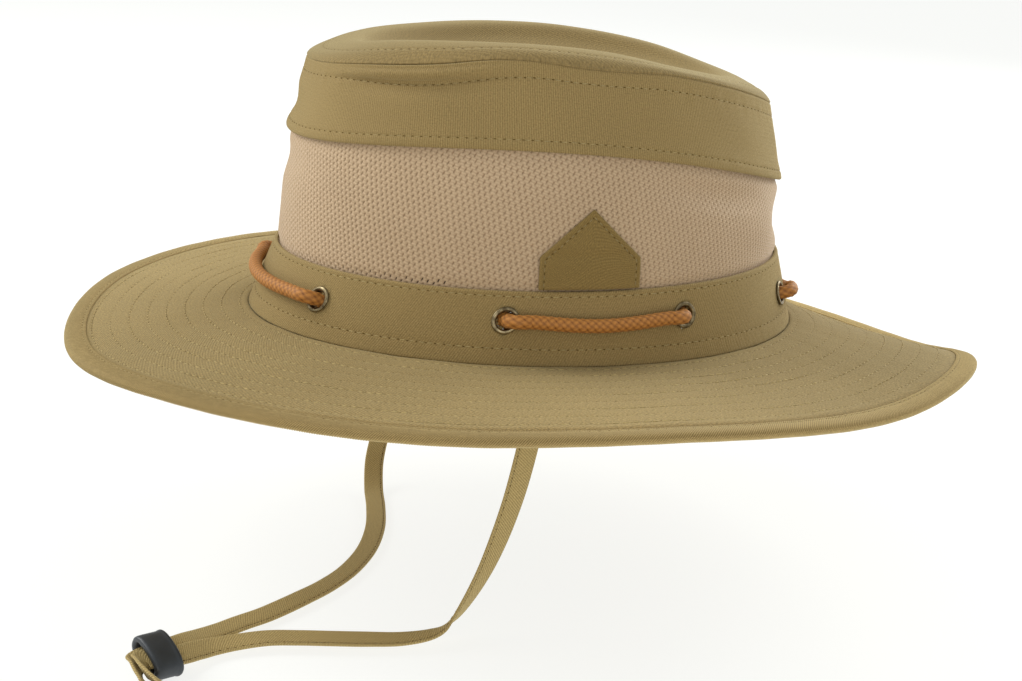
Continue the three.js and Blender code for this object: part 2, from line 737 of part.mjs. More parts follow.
function makeSlider() {
  const outer = sliderRows.map((row) => squaredOval(row.along, row.halfWidth, row.halfHeight, 2.4));
  const hole = [slider.halfLength, -slider.halfLength].map((along) => (
    squaredOval(along, slider.holeHalfWidth, slider.holeHalfHeight, 4)
  ));
  const along = new THREE.Vector3(...slider.along).normalize();
  const up = new THREE.Vector3(...slider.across).cross(along.clone().negate()).normalize();
  const across = new THREE.Vector3().crossVectors(along.clone().negate(), up);
  const mesh = piece('chin_slider', loft([...outer, ...hole], true), 'rubber');
  mesh.applyMatrix4(new THREE.Matrix4().makeBasis(across, along.negate(), up));
  mesh.position.set(...slider.centre);
  return mesh;
}

// ---- assembly ----
const hat = new THREE.Group();

const brimGroup = new THREE.Group();
brimGroup.add(piece('brim', makeBrim(), 'twill'));
brimGroup.add(piece('brim_binding', makeBinding(), 'twill'));
hat.add(brimGroup);

const crownGroup = new THREE.Group();
crownGroup.add(piece('hat_band', makeHatBand(), 'twill'));
crownGroup.add(piece('mesh_panel', makeMeshPanel(), 'mesh'));
crownGroup.add(piece('crown_band', makeCrownBand(), 'twill'));
crownGroup.add(piece('crown_tip', makeCrownTip(), 'twill'));
crownGroup.add(piece('side_tab_left', makeSideTab(tab.bearing), 'twill'));
crownGroup.add(piece('side_tab_right', makeSideTab(360 - tab.bearing), 'twill'));
hat.add(crownGroup);

const cordGroup = new THREE.Group();
allEyelets.forEach((place, index) => {
  cordGroup.add(makeEyelet({ ...place, name: `eyelet_${index + 1}` }));
});
cordGroup.add(piece('band_cord', roundTube(cordCentreline(), cordDiameter / 2, 8), 'cord'));
hat.add(cordGroup);

const strapGroup = new THREE.Group();
strapGroup.add(piece('chin_strap', makeStrap(), 'twill'));
strapGroup.add(makeSlider());
hat.add(strapGroup);

export default hat;
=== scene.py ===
# Outback hat of cotton twill with a mesh crown, a braided cord laced through eyelets in its band,
# and a chin strap of folded tape with a slider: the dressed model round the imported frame.
import math

import bmesh
import bpy
import numpy as np
from bpy.props import FloatProperty, FloatVectorProperty, IntProperty, PointerProperty
from bpy.types import Operator, Panel, PropertyGroup
from mathutils import Matrix, Vector


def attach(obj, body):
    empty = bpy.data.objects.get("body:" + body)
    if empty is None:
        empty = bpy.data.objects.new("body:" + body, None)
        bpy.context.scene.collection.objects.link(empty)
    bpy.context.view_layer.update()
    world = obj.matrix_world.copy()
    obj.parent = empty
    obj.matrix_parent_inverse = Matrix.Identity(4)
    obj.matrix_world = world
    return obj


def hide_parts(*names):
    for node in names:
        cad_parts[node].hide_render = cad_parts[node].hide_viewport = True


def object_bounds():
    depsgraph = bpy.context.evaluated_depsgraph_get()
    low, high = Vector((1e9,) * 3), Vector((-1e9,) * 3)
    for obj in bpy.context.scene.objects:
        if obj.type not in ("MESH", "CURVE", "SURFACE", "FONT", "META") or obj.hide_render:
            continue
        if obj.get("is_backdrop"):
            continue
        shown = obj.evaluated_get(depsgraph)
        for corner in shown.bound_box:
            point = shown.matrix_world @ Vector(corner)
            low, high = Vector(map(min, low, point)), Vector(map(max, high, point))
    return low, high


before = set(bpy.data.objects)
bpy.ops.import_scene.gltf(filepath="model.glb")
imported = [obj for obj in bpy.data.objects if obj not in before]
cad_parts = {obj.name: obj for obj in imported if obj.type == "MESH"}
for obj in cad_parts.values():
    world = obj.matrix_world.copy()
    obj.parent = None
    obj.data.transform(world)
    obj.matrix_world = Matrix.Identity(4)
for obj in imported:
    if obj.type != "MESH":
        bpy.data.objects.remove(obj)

bl_info = {
    "name": "Outback hat",
    "version": (1, 0, 0),
    "blender": (4, 5, 0),
    "location": "View3D > Sidebar > Outback hat",
    "description": "Builds the cloth, mesh, cord, eyelets, strap and slider of an outback hat",
    "category": "Add Mesh",
}

# ---- sizes and tables, in millimetres and degrees, as in the part's source ----
# A bearing runs round the hat: 0 is the front, 90 the wearer's left, 180 the back. A level runs
# up the crown wall: 0 brim seam, 1 top of the band, 2 hem of the crown band, 3 seam of the tip.
MM = 0.001
CLEARANCE = 0.3
TWILL_WALL = 1.6
BRIM_WALL = 2.0
BINDING_WIDTH = 7.5
SEAM_ALLOWANCE = 5.5
TAB_WALL = 1.1
# How far in a seam's allowance lies under the cloth sewn over it, and its two faces.
TUCK = TWILL_WALL + CLEARANCE
FLANGE_OUTER = -TUCK
FLANGE_INNER = FLANGE_OUTER - TWILL_WALL
CORD_RADIUS = 2.5
WEAVE_MAP = "weave"

# Rings of the crown wall: height, half width, half length, centre, tilt, saddle.
RINGS = np.array([
    (0, 85.5, 105, 0, 0, 0),
    (24.9, 82.4, 96.5, 0.5, -2, 0),
    (64.3, 76.2, 94.3, 1.8, 7, -5.8),
    (91.7, 72.3, 87.5, 1.4, 5.7, -6.6),
])

# Soft folds of the wall: bearing, level, half the spread each way, depth.
FOLDS = (
    (117, 1.74, 24, 0.2, 2.2),
    (160, 1.5, 22, 0.42, 2.6),
    (138, 1.45, 16, 0.4, -1.2),
    (345, 2.34, 42, 0.34, 1.3),
    (350, 1.74, 40, 0.24, 1.4),
    (47, 2.72, 30, 0.14, 1.8),
    (318, 1.66, 26, 0.3, 1.8),
    (236, 1.6, 30, 0.34, 2.4),
    (222, 2.72, 30, 0.14, 1.2),
)

# Waves of the tip seam: bearing, half the spread, drop.
TIP_SEAM_WAVES = ((45, 20, 0.5), (66, 16, -0.9), (88, 18, 1.2), (305, 62, 2.9))

# The brim's edge every 30 degrees: reach and drop.
BRIM_EDGE = np.array([
    (66.2, 11.4), (67.6, 6.0), (69.7, 3.8), (70.9, 0.6), (70.2, 4.3), (70.9, 4.2),
    (68.3, 20.8), (68.3, 20.9), (69.0, 11.0), (70.4, 5.5), (70.0, 3.2), (67.9, 5.8),
])

# The hollow inside the brim's back edge: bearing, half its turn, depth.
BRIM_HOLLOW = (190, 42, 2.5)

# The tip's crests every 30 mm from front to back: heights on the wearer's left and right.
TIP_CREST_START = -90
TIP_CREST_STEP = 30
TIP_CRESTS = np.array([
    (96, 92), (101.8, 97.8), (104.1, 99.6), (102.9, 100.9), (97.6, 100.5), (92.6, 97), (87.6, 88.4),
])
# Half the width over which one side's crest passes into the other's, and the dent's depth.
TIP_CREST_BLEND = 40
TIP_DENT = 10

# Eyelets on the wearer's left: bearing and level. The right has the same, mirrored.
EYELETS_LEFT = ((27.7, 0.54), (70.1, 0.6), (107.7, 0.6), (147, 0.5))
EYELETS = EYELETS_LEFT + tuple((360 - bearing, level) for bearing, level in reversed(EYELETS_LEFT))

# The cord's way through an eyelet: along the band, out from its face.
CORD_CROSSING = (
    (-10, -4.8), (-6, -5.5), (-3, -5.5), (-1.2, -4.6), (-0.1, -2.7),
    (0.9, 0.9), (1.9, 2.9), (3.8, 3.9), (6.4, 3.9), (9.8, 3.1),
)
# How far out from the band's face the cord's middle lies, outside and inside.
CORD_OUTSIDE = 2.85
CORD_INSIDE = -4.6
# Between eyelets: degrees kept clear at each, degrees from point to point, and how many levels
# each stretch rises.
CORD_MARGIN = 7
CORD_STEP = 8
CORD_LIFTS = (-0.05, 0, -0.02, 0, -0.05, 0, -0.3)
# The cord's two ends meet inside the band: bearing and level, and the gap between them.
CORD_JOINT = (232, 0.56)
CORD_JOINT_GAP = 0.5

# The left tab; the right one is its mirror.
TAB_BEARING = 86.3
TAB_HALF_TURN = 10.6
TAB_LEVELS = {"base": 1.02, "shoulder": 1.25, "apex": 1.6}

SLIDER_CENTRE = (89.5, -148.7, -92)
SLIDER_ALONG = (0.42, -0.9, 0.05)
SLIDER_ACROSS = (0.84, 0.34, -0.42)

# The chin strap's centreline from its sewn end on the left, through the slider, round its loose
# loop and back up to the right: place, and the direction across the tape.
STRAP_ROUTE = np.array([
    (77.4, -19.5, 9, 0, -1, 0),
    (78.1, -20, -3, 0, -1, 0),
    (78.5, -20.8, -14, 0, -1, 0),
    (78.6, -22, -26, 0, -1, 0),
    (78.3, -24.5, -40.5, 0.05, -1, 0),
    (78.3, -27.2, -52, 0.15, -0.98, 0.1),
    (78.6, -31, -64, 0.27, -0.94, 0.2),
    (79.2, -35.5, -75, 0.45, -0.85, 0.3),
    (80.3, -41, -84.5, 0.62, -0.65, 0.4),
    (82.7, -47.2, -91, 0.8, -0.45, 0.35),
    (85.8, -54.7, -94.2, 0.95, -0.1, 0.1),
    (86.8, -66, -94.9, 0.97, 0, -0.1),
    (85.4, -78.5, -94.6, 0.98, 0, -0.18),
    (83.1, -90.2, -94.4, 0.98, 0, -0.18),
    (80.6, -100.6, -94.4, 0.98, 0, -0.18),
    (78.4, -111, -94.6, 0.98, 0, -0.2),
    (78.3, -121.6, -95.2, 0.97, 0.05, -0.24),
    (80.4, -130.2, -95.1, 0.95, 0.15, -0.32),
    (84.4, -136.2, -94, 0.9, 0.28, -0.4),
    (89.3, -142, -92.6, 0.84, 0.34, -0.42),
    (91.5, -148, -92, 0.84, 0.34, -0.42),
    (92.9, -153.4, -91.3, 0.84, 0.34, -0.42),
    (95.2, -154.5, -91.6, 0.6, 0.42, -0.68),
    (98.4, -154.2, -92, 0.05, 0.5, -0.86),
    (101.8, -152.3, -92.5, -0.3, 0.5, -0.8),
    (105, -150, -93, -0.4, 0.6, -0.68),
    (108.5, -147.8, -93.5, -0.36, 0.74, -0.5),
    (113, -146, -93.8, -0.25, 0.92, -0.25),
    (119, -144.8, -93.9, -0.12, 0.98, -0.12),
    (127, -144.5, -93.9, 0, 1, 0),
    (135, -145.8, -93.7, 0, 1, 0),
    (140.4, -147, -93.9, 0, 1, 0),
    (143.4, -148.6, -95.4, 0, 1, 0),
    (140, -150.2, -97, 0, 1, 0),
    (132.5, -151.4, -97, 0, 1, 0),
    (124.5, -152, -96.9, 0, 1, 0),
    (116, -151.4, -96.6, -0.1, 0.97, -0.12),
    (109, -152, -96, -0.25, 0.85, -0.42),
    (103.4, -153.5, -95.2, -0.3, 0.6, -0.7),
    (98.8, -155.4, -94.2, -0.1, 0.5, -0.86),
    (95, -156.1, -93.3, 0.25, 0.45, -0.84),
    (92.2, -155.8, -92.6, 0.68, 0.42, -0.55),
    (90.4, -154.2, -92.2, 0.84, 0.34, -0.42),
    (87.4, -149.4, -92, 0.84, 0.34, -0.42),
    (84.4, -143.8, -92.1, 0.84, 0.34, -0.42),
    (79.2, -138.2, -92.9, 0.85, 0.4, -0.3),
    (73, -131.8, -94.6, 0.83, 0.5, -0.25),
    (67.4, -124.7, -95.7, 0.8, 0.52, -0.22),
    (62.3, -117.2, -96, 0.8, 0.52, -0.2),
    (57.8, -108.8, -96, 0.8, 0.53, -0.2),
    (52.6, -101.3, -96, 0.8, 0.55, -0.2),
    (46.4, -93.4, -96.1, 0.78, 0.6, -0.18),
    (36.5, -82.2, -96.5, 0.72, 0.68, -0.12),
    (23, -70.5, -96.9, 0.6, 0.8, -0.05),
    (5, -59.5, -97.1, 0.5, 0.87, 0),
    (-16, -51, -97.1, 0.3, 0.95, 0),
    (-38, -45.4, -97.1, 0.2, 0.98, 0),
    (-57, -41.8, -96, 0.15, 0.98, 0),
    (-70, -38.6, -88.5, 0.1, 1, 0),
    (-76, -34.6, -77, 0, 1, 0),
    (-78.2, -30.6, -63, 0, 1, 0),
    (-78.5, -27, -51, 0, 1, 0),
    (-78.6, -24.4, -39, 0, 1, 0),
    (-78.8, -22, -26, 0, 1, 0),
    (-78.5, -20.8, -14, 0, 1, 0),
    (-78.1, -20, -3, 0, 1, 0),
    (-77.4, -19.5, 9, 0, 1, 0),
])


# ---- shapes shared by the pieces ----
def hump(distance):
    """A smooth rise of 1 at 0 that ends at plus and minus 1."""
    return np.where(np.abs(distance) < 1, 0.5 + 0.5 * np.cos(np.pi * distance), 0.0)


def turned(angle):
    """An angle brought between -180 and 180."""
    return (np.asarray(angle) + 180) % 360 - 180


def smoothstep(value, low, high):
    """A smooth rise from 0 at low to 1 at high."""
    share = np.clip((value - low) / (high - low), 0, 1)
    return share * share * (3 - 2 * share)


def unit(vectors):
    """Vectors brought to a length of 1."""
    vectors = np.asarray(vectors, float)
    return vectors / np.linalg.norm(vectors, axis=-1, keepdims=True)


def spline(before, start, end, after, share):
    """Catmull-Rom value between start and end."""
    square = share * share
    cube = square * share
    return (
        (2 * cube - 3 * square + 1) * start
        + (cube - 2 * square + share) * (end - before) / 2
        + (3 * square - 2 * cube) * end
        + (cube - square) * (after - start) / 2
    )


def round_table(values, bearing):
    """A smooth curve through values that are spaced evenly round the hat."""
    place = (np.asarray(bearing, float) % 360) * len(values) / 360
    row = np.floor(place).astype(int)
    near = [values[(row + offset) % len(values)] for offset in (-1, 0, 1, 2)]
    return spline(*near, place - row)


def ring_place(ring, bearing):
    """A point of one ring of the crown wall."""
    angle = np.radians(bearing)
    height, half_width, half_length, centre, tilt, saddle = np.moveaxis(RINGS[ring], -1, 0)
    return np.stack([
        half_width * np.sin(angle),
        centre - half_length * np.cos(angle),
        height + tilt * np.cos(angle) + saddle * np.cos(2 * angle),
    ], -1)


def ring_outward(ring, bearing):
    """The level direction square to a ring, away from the crown."""
    angle = np.radians(bearing)
    across, along = RINGS[ring][..., 1], RINGS[ring][..., 2]
    return unit(np.stack([np.sin(angle) / across, -np.cos(angle) / along, 0 * angle], -1))


def wall(bearing, level, out=0.0):
    """A point of the crown wall, the given distance out from its face, in millimetres."""
    bearing, level, out = np.broadcast_arrays(
        np.asarray(bearing, float), np.asarray(level, float), np.asarray(out, float)
    )
    ring = np.clip(np.floor(level), 0, len(RINGS) - 2).astype(int)
    share = (level - ring)[..., None]
    place = ring_place(ring, bearing) * (1 - share) + ring_place(ring + 1, bearing) * share
    depth = sum(
        sinks * hump(turned(bearing - middle) / turn) * hump((level - at) / rise)
        for middle, at, turn, rise, sinks in FOLDS
    )
    place = place + ring_outward(ring, bearing) * (out - depth)[..., None]
    # The tip seam's waves die away down the crown band.
    sag = sum(drop * hump(turned(bearing - at) / turn) for at, turn, drop in TIP_SEAM_WAVES)
    place[..., 2] -= sag * smoothstep(level, 2.4, 3)
    return place


def wall_frame(bearing, level):
    """Directions at a point of the wall: out from it, along it and up it."""
    along = unit(wall(bearing + 1, level) - wall(bearing - 1, level))
    up = unit(wall(bearing, level + 0.05) - wall(bearing, level - 0.05))
    return unit(np.cross(along, up)), along, up


def brim_reach(bearing):
    """How far the brim's edge lies from the seam."""
    return round_table(BRIM_EDGE[:, 0], bearing)


def brim(bearing, distance, above):
    """A point of the brim, the given distance from the seam and above its middle plane."""
    bearing, distance, above = np.broadcast_arrays(
        np.asarray(bearing, float), np.asarray(distance, float), np.asarray(above, float)
    )
    share = np.maximum(0, distance / brim_reach(bearing))
    fall = round_table(BRIM_EDGE[:, 1], bearing) * share * (0.8 + 0.2 * share)
    middle, spread, depth = BRIM_HOLLOW
    hollow = depth * hump(turned(bearing - middle) / spread)
    hollow = hollow * smoothstep(share, 0.05, 0.4) * (1 - smoothstep(share, 0.85, 0.99))
    ring = np.zeros(bearing.shape, int)
    place = wall(bearing, 0 * bearing) + ring_outward(ring, bearing) * distance[..., None]
    place[..., 2] += above - fall - hollow - CLEARANCE - BRIM_WALL / 2
    return place


def crest_height(x, y):
    """The tip's height without its dent."""
    last = len(TIP_CRESTS) - 1
    place = np.clip((y - TIP_CREST_START) / TIP_CREST_STEP, 0, last - 1e-6)
    row = np.floor(place).astype(int)
    near = [TIP_CRESTS[np.clip(row + offset, 0, last)] for offset in (-1, 0, 1, 2)]
    heights = spline(*near, (place - row)[..., None])
    share = smoothstep(x, -TIP_CREST_BLEND, TIP_CREST_BLEND)
    return heights[..., 1] * (1 - share) + heights[..., 0] * share


def running_length(points):
    """How far each point of a line lies along it."""
    steps = np.linalg.norm(np.diff(points, axis=0), axis=1)
    return np.concatenate([[0], np.cumsum(steps)])


def at_run(values, run, at):
    """The values of a line's points, read between the points at the given lengths along it."""
    return np.stack([np.interp(at, run, column) for column in values.T], -1)


CURVE_PARTS = 12


def curve_through(points, step):
    """Points a step apart on a smooth curve through the given rows, whose first three columns are
    the place."""
    points = np.asarray(points, float)
    padded = np.vstack([2 * points[0] - points[1], points, 2 * points[-1] - points[-2]])
    share = np.arange(1, CURVE_PARTS + 1)[:, None] / CURVE_PARTS
    parts = [spline(*padded[row:row + 4], share) for row in range(len(points) - 1)]
    dense = np.vstack([points[:1], *parts])
    run = running_length(dense[:, :3])
    count = max(2, round(run[-1] / step))
    return at_run(dense, run, np.linspace(0, run[-1], count + 1))


def even_bearing(share):
    """The bearing an even share of the way round the crown."""
    bearing = np.linspace(0, 360, 1441)
    run = running_length(ring_place(np.ones(bearing.shape, int), bearing)[:, :2])
    whole = np.floor(share)
    return 360 * whole + np.interp((share - whole) * run[-1], run, bearing)


# ---- meshes ----
WELD = 1e-6


def opened(mesh):
    """A mesh as a shape that can be worked on."""
    shape = bmesh.new()
    shape.from_mesh(mesh)
    return shape


def as_mesh(shape, mesh):
    """Writes a shape, with smooth faces, into a mesh or into a new one of that name."""
    if isinstance(mesh, str):
        mesh = bpy.data.meshes.new(mesh)
    for face in shape.faces:
        face.smooth = True
    shape.to_mesh(mesh)
    shape.free()
    return mesh


def vertex_places(mesh):
    """Where a mesh's points are, a row for each."""
    places = np.empty(len(mesh.vertices) * 3, np.float32)
    mesh.vertices.foreach_get("co", places)
    return places.reshape(-1, 3)


def draped(mesh, places, unrolled, relief=None):
    """Moves a mesh's points to their places, in millimetres. Its weave map is the unrolled cloth in
    millimetres, and its relief is what the material reads as high and low."""
    mesh.vertices.foreach_set("co", (places * MM).astype(np.float32).ravel())
    corners = np.empty(len(mesh.loops), np.int32)
    mesh.loops.foreach_get("vertex_index", corners)
    layer = mesh.uv_layers.new(name=WEAVE_MAP)
    layer.uv.foreach_set("vector", unrolled[corners].astype(np.float32).ravel())
    if relief is not None:
        heights = mesh.attributes.new("relief", "FLOAT", "POINT")
        heights.data.foreach_set("value", relief.astype(np.float32))
    return mesh


def grid_numbers(columns, rows):
    """The column and the row of each point of a grid, as two tables."""
    return np.meshgrid(np.arange(columns + 1), np.arange(rows + 1), indexing="ij")


def bent_grid(name, columns, rows, place, unroll=None, pitch=0, relief=None):
    """A grid whose columns and rows place() bends into shape. With a pitch, every second column is
    one rib of the cloth. A relief is a table like those of grid_numbers()."""
    grid = bmesh.new()
    bmesh.ops.create_grid(grid, x_segments=columns, y_segments=rows, size=0.5)
    mesh = as_mesh(grid, name)
    flat = vertex_places(mesh) + 0.5
    column = np.rint(flat[:, 0] * columns).astype(int)
    row = np.rint(flat[:, 1] * rows).astype(int)
    table = place(*grid_numbers(columns, rows))
    places = table[column, row]
    if unroll:
        unrolled = unroll(places)
    else:
        along = np.linalg.norm(np.diff(table, axis=0), axis=-1).mean(1)
        if pitch:
            along = np.full(columns, pitch / 2)
        across = np.linalg.norm(np.diff(table, axis=1), axis=-1).mean(0)
        unrolled = np.stack([
            np.concatenate([[0], np.cumsum(along)])[column],
            np.concatenate([[0], np.cumsum(across)])[row],
        ], -1)
    return draped(mesh, places, unrolled, None if relief is None else relief[column, row])


def welded(mesh, outward=True):
    """Closes a mesh where its edges meet and turns its faces outwards."""
    shape = opened(mesh)
    bmesh.ops.remove_doubles(shape, verts=shape.verts, dist=WELD)
    bmesh.ops.dissolve_degenerate(shape, edges=shape.edges, dist=WELD / 10)
    if outward:
        bmesh.ops.recalc_face_normals(shape, faces=shape.faces)
    return as_mesh(shape, mesh)


def closed_ends(mesh):
    """Fills the open sides of a folded piece."""
    shape = opened(mesh)
    bmesh.ops.remove_doubles(shape, verts=shape.verts, dist=WELD)
    rims = [edge for edge in shape.edges if edge.is_boundary]
    bmesh.ops.holes_fill(shape, edges=rims, sides=0)
    return as_mesh(shape, mesh)


def ringed(name, columns, section, ring_of, unroll=None):
    """A closed mesh of rings round the hat, one for each row of its section. ring_of() gives a
    ring's points from its bearings and its row of the section."""
    def place(column, row):
        bearing = 360 * column / columns
        rings = [ring_of(bearing[:, number], *entry) for number, entry in enumerate(section)]
        return np.stack(rings, 1)

    return welded(bent_grid(name, columns, len(section) - 1, place, unroll))


def piece(name, mesh, material, nodes=()):
    """The finished piece: an object on the hat's body that stands for its CAD nodes."""
    thing = bpy.data.objects.new(name, mesh)
    bpy.context.scene.collection.objects.link(thing)
    for finish in material if isinstance(material, list) else [material]:
        mesh.materials.append(finish)
    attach(thing, "root")
    if nodes:
        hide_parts(*nodes)
    return thing


def ribbed(column, row, rows, depth):
    """Relief of one twill rib for every second column, on the given rows."""
    return np.where(np.isin(row, rows), depth * (column % 2 * 2 - 1), 0.0)


# ---- stitches ----
STITCH_BATCH = 120
STITCH_WOBBLE = 0.1
# The dark discs of painted shade for the needle holes stand this far off the cloth.
HOLE_LIFT = 0.07


def stitch_line(line, normals, length, gap, thickness, sink=0.1, uneven=0.04, pit=0.6):
    """Rounded stitches along a line of points, sunk into the cloth, and the needle holes between
    them, each as its matrix: a hole is a flat dark disc of painted shade. The pit is a hole's size
    as a share of the gap. No two stitches are quite alike in length, depth and direction."""
    run = running_length(line)
    count = int(run[-1] // (length + gap))
    pitch = run[-1] / count
    number = np.arange(count)
    middles = (number + 0.5) * pitch + 0.12 * np.sin(number * 1.3) * gap
    out = unit(at_run(normals, run, middles))
    forward = unit(at_run(line, run, middles + 0.5) - at_run(line, run, middles - 0.5))
    lean = STITCH_WOBBLE * np.sin(number * 2.4 + 0.7 * np.sin(number * 0.9))
    axis = unit(forward + np.cross(out, forward) * lean[:, None])
    reach = length * (1 + 0.1 * np.sin(number * 1.7)) / 2
    drawn = sink + uneven * (np.sin(number * 0.31) + np.sin(number * 0.083 + 1))
    places = at_run(line, run, middles) - out * drawn[:, None]
    thread = shape_matrices(places, axis, out, reach, thickness / 2)
    spots = number * pitch
    pits = shape_matrices(
        at_run(line, run, spots) + out * HOLE_LIFT, forward, unit(at_run(normals, run, spots)),
        np.full(count, gap * pit), thickness * pit * 0.9,
    )
    return thread, pits


def shape_matrices(places, axes, outs, reaches, half):
    """A matrix for each place, turned along its axis and stretched to its reach."""
    matrices = []
    for place, axis, out, reach in zip(places, axes, outs, reaches):
        up = Vector(out)
        across = up.cross(Vector(axis)).normalized()
        ahead = across.cross(up)
        basis = Matrix((ahead * reach, across * half, up * half)).transposed().to_4x4()
        basis.translation = Vector(place)
        matrices.append(Matrix.Scale(MM, 4) @ basis)
    return matrices


def stitched(name, lines, thread):
    """One piece of stitch lines, each a dictionary for stitch_line(), with its needle holes drawn
    as dark discs of painted shade.
    """
    stitches, holes = [], []
    for line in lines:
        made, pits = stitch_line(**line)
        stitches += made
        holes += pits
    whole = bmesh.new()
    for start in range(0, len(stitches), STITCH_BATCH):
        batch = bmesh.new()
        for matrix in stitches[start:start + STITCH_BATCH]:
            bmesh.ops.create_icosphere(batch, subdivisions=1, radius=1, matrix=matrix)
        sewn = len(batch.faces)
        # Each needle hole is a flat dark disc: painted shade.
        for matrix in holes[start:start + STITCH_BATCH]:
            bmesh.ops.create_circle(batch, cap_ends=True, segments=6, radius=1, matrix=matrix)
        batch.faces.ensure_lookup_table()
        for face in batch.faces[sewn:]:
            face.material_index = 1
        part = as_mesh(batch, name)
        whole.from_mesh(part)
        bpy.data.meshes.remove(part)
    return piece(name, as_mesh(whole, name), [thread, needle_hole_shade()])


def wall_line(level, bulge, lift):
    """A stitch line round the crown wall, lifted off the cloth's bulges, and its normals. The level
    may be a function of the bearing."""
    bearing = np.linspace(0, 360, 721)
    height = level(bearing) if callable(level) else np.full_like(bearing, level)
    line = wall(bearing, height, bulge(bearing, height) + lift)
    return {"line": line, "normals": wall_frame(bearing, height)[0]}


def brim_line(bearing, distance, above, side):
    """A stitch line on the brim's upper face, or on its under face where the side is -1."""
    line = brim(bearing, distance, side * above)
    return {"line": line, "normals": np.tile((0.0, 0.0, side), (len(line), 1))}


# ---- finishes ----
MULTIPLY_ADD = {"operation": "MULTIPLY_ADD"}
TINTED = {"operation": "SCALE"}
TWO_COLOURS = {"data_type": "RGBA"}
BUMP_DEPTH = 0.0002


def linear(code):
    """An sRGB hex colour as linear red, green and blue."""
    parts = [int(code[at:at + 2], 16) / 255 for at in (1, 3, 5)]
    return [part / 12.92 if part <= 0.04045 else ((part + 0.055) / 1.055) ** 2.4 for part in parts]


def opaque(colour):
    """A colour that lets nothing through."""
    return (*colour, 1.0)


def scaled(colour, share):
    """A colour made lighter or darker."""
    return [channel * share for channel in colour]


def add(tree, kind, settings=None, inputs=None):
    """Adds a node with its settings. Its inputs are values, the outputs of other nodes, or other
    nodes, which then give their first output in use."""
    node = tree.nodes.new(kind)
    for name, value in (settings or {}).items():
        setattr(node, name, value)
    for name, value in (inputs or {}).items():
        if isinstance(value, bpy.types.Node):
            value = next(output for output in value.outputs if output.enabled)
        if isinstance(value, bpy.types.NodeSocket):
            tree.links.new(value, node.inputs[name])
        else:
            node.inputs[name].default_value = value
    return node


def new_material(name):
    """An empty material and its node tree."""
    material = bpy.data.materials.new(name)
    material.use_nodes = True
    material.node_tree.nodes.clear()
    return material, material.node_tree


def surfaced(material, inputs):
    """The material, finished with its shader: the inputs are even values or other nodes."""
    tree = material.node_tree
    shader = add(tree, "ShaderNodeBsdfPrincipled", None, inputs)
    add(tree, "ShaderNodeOutputMaterial", None, {"Surface": shader})
    return material


def wave_of(tree, value):
    """A smooth wave from 0 at whole values to 1 at the halves."""
    angle = add(tree, "ShaderNodeMath", MULTIPLY_ADD, {0: value, 1: 2 * math.pi, 2: -math.pi / 2})
    sine = add(tree, "ShaderNodeMath", {"operation": "SINE"}, {0: angle})
    return add(tree, "ShaderNodeMath", MULTIPLY_ADD, {0: sine, 1: 0.5, 2: 0.5})


def twill(name, light, shade, slant, pitch, contrast, ribs, flecks):
    """Cotton twill, woven with a diagonal rib and piece-dyed: matt, with a faint nap that catches
    the light at the edges. The slant turns the ribs on the cloth, the pitch is their spacing, and
    contrast, ribs and flecks are how strongly they show in tone, in relief and in spots."""
    # Real ribs stand about 0.5 mm apart and would blur into one tone: they are drawn at 0.7 to
    # 0.9 mm.
    material, tree = new_material(name)
    place = add(tree, "ShaderNodeTexCoord").outputs["Object"]
    cloth = add(tree, "ShaderNodeMapping", None, {
        "Vector": add(tree, "ShaderNodeUVMap", {"uv_map": WEAVE_MAP}),
        "Rotation": (0, 0, math.radians(slant)), "Scale": (1 / pitch, 1 / pitch, 1),
    })
    axes = add(tree, "ShaderNodeSeparateXYZ", None, {"Vector": cloth}).outputs
    unsteady = add(tree, "ShaderNodeTexNoise", None, {"Vector": cloth, "Scale": 0.35, "Detail": 2})
    drift = add(tree, "ShaderNodeMath", MULTIPLY_ADD, {0: unsteady, 1: 0.3, 2: axes["X"]})
    rib = wave_of(tree, drift)
    # Each rib is a row of short floats, about twice as long as the rib is wide.
    step = add(tree, "ShaderNodeMath", MULTIPLY_ADD, {0: axes["Y"], 1: 0.55, 2: axes["X"]})
    woven = add(tree, "ShaderNodeMath", MULTIPLY_ADD, {0: wave_of(tree, step), 1: 0.2, 2: rib})
    slub = add(tree, "ShaderNodeTexNoise", None, {
        "Vector": cloth, "Scale": 1.4, "Detail": 3, "Roughness": 0.7,
    })
    height = add(tree, "ShaderNodeMath", MULTIPLY_ADD, {0: slub, 1: 0.9, 2: woven})
    tone = add(tree, "ShaderNodeMath", {**MULTIPLY_ADD, "use_clamp": True}, {
        0: rib, 1: contrast, 2: (1 - contrast) / 2,
    })
    thread = add(tree, "ShaderNodeMix", TWO_COLOURS, {
        "Factor": tone, "A": opaque(shade), "B": opaque(light),
    })
    slubbed = add(tree, "ShaderNodeMapRange", None, {
        "Value": slub, "From Min": 0.3, "From Max": 0.7,
        "To Min": 1 - flecks * 0.4, "To Max": 1 + flecks * 0.36,
    })
    fade = add(tree, "ShaderNodeTexNoise", None, {
        "Vector": place, "Scale": 22, "Detail": 3, "Roughness": 0.5,
    })
    faded = add(tree, "ShaderNodeMapRange", None, {
        "Value": fade, "From Min": 0.35, "From Max": 0.65, "To Min": 0.965, "To Max": 1.03,
    })
    both = add(tree, "ShaderNodeMath", {"operation": "MULTIPLY"}, {0: slubbed, 1: faded})
    return surfaced(material, {
        "Base Color": add(tree, "ShaderNodeVectorMath", TINTED, {"Vector": thread, "Scale": both}),
        "Normal": add(tree, "ShaderNodeBump", None, {
            "Strength": 0.6 * ribs, "Distance": BUMP_DEPTH, "Height": height,
        }),
        "Roughness": 0.88, "Specular IOR Level": 0.25,
        "Sheen Weight": 0.35, "Sheen Roughness": 0.5, "Sheen Tint": opaque(linear("#e6dcae")),
    })


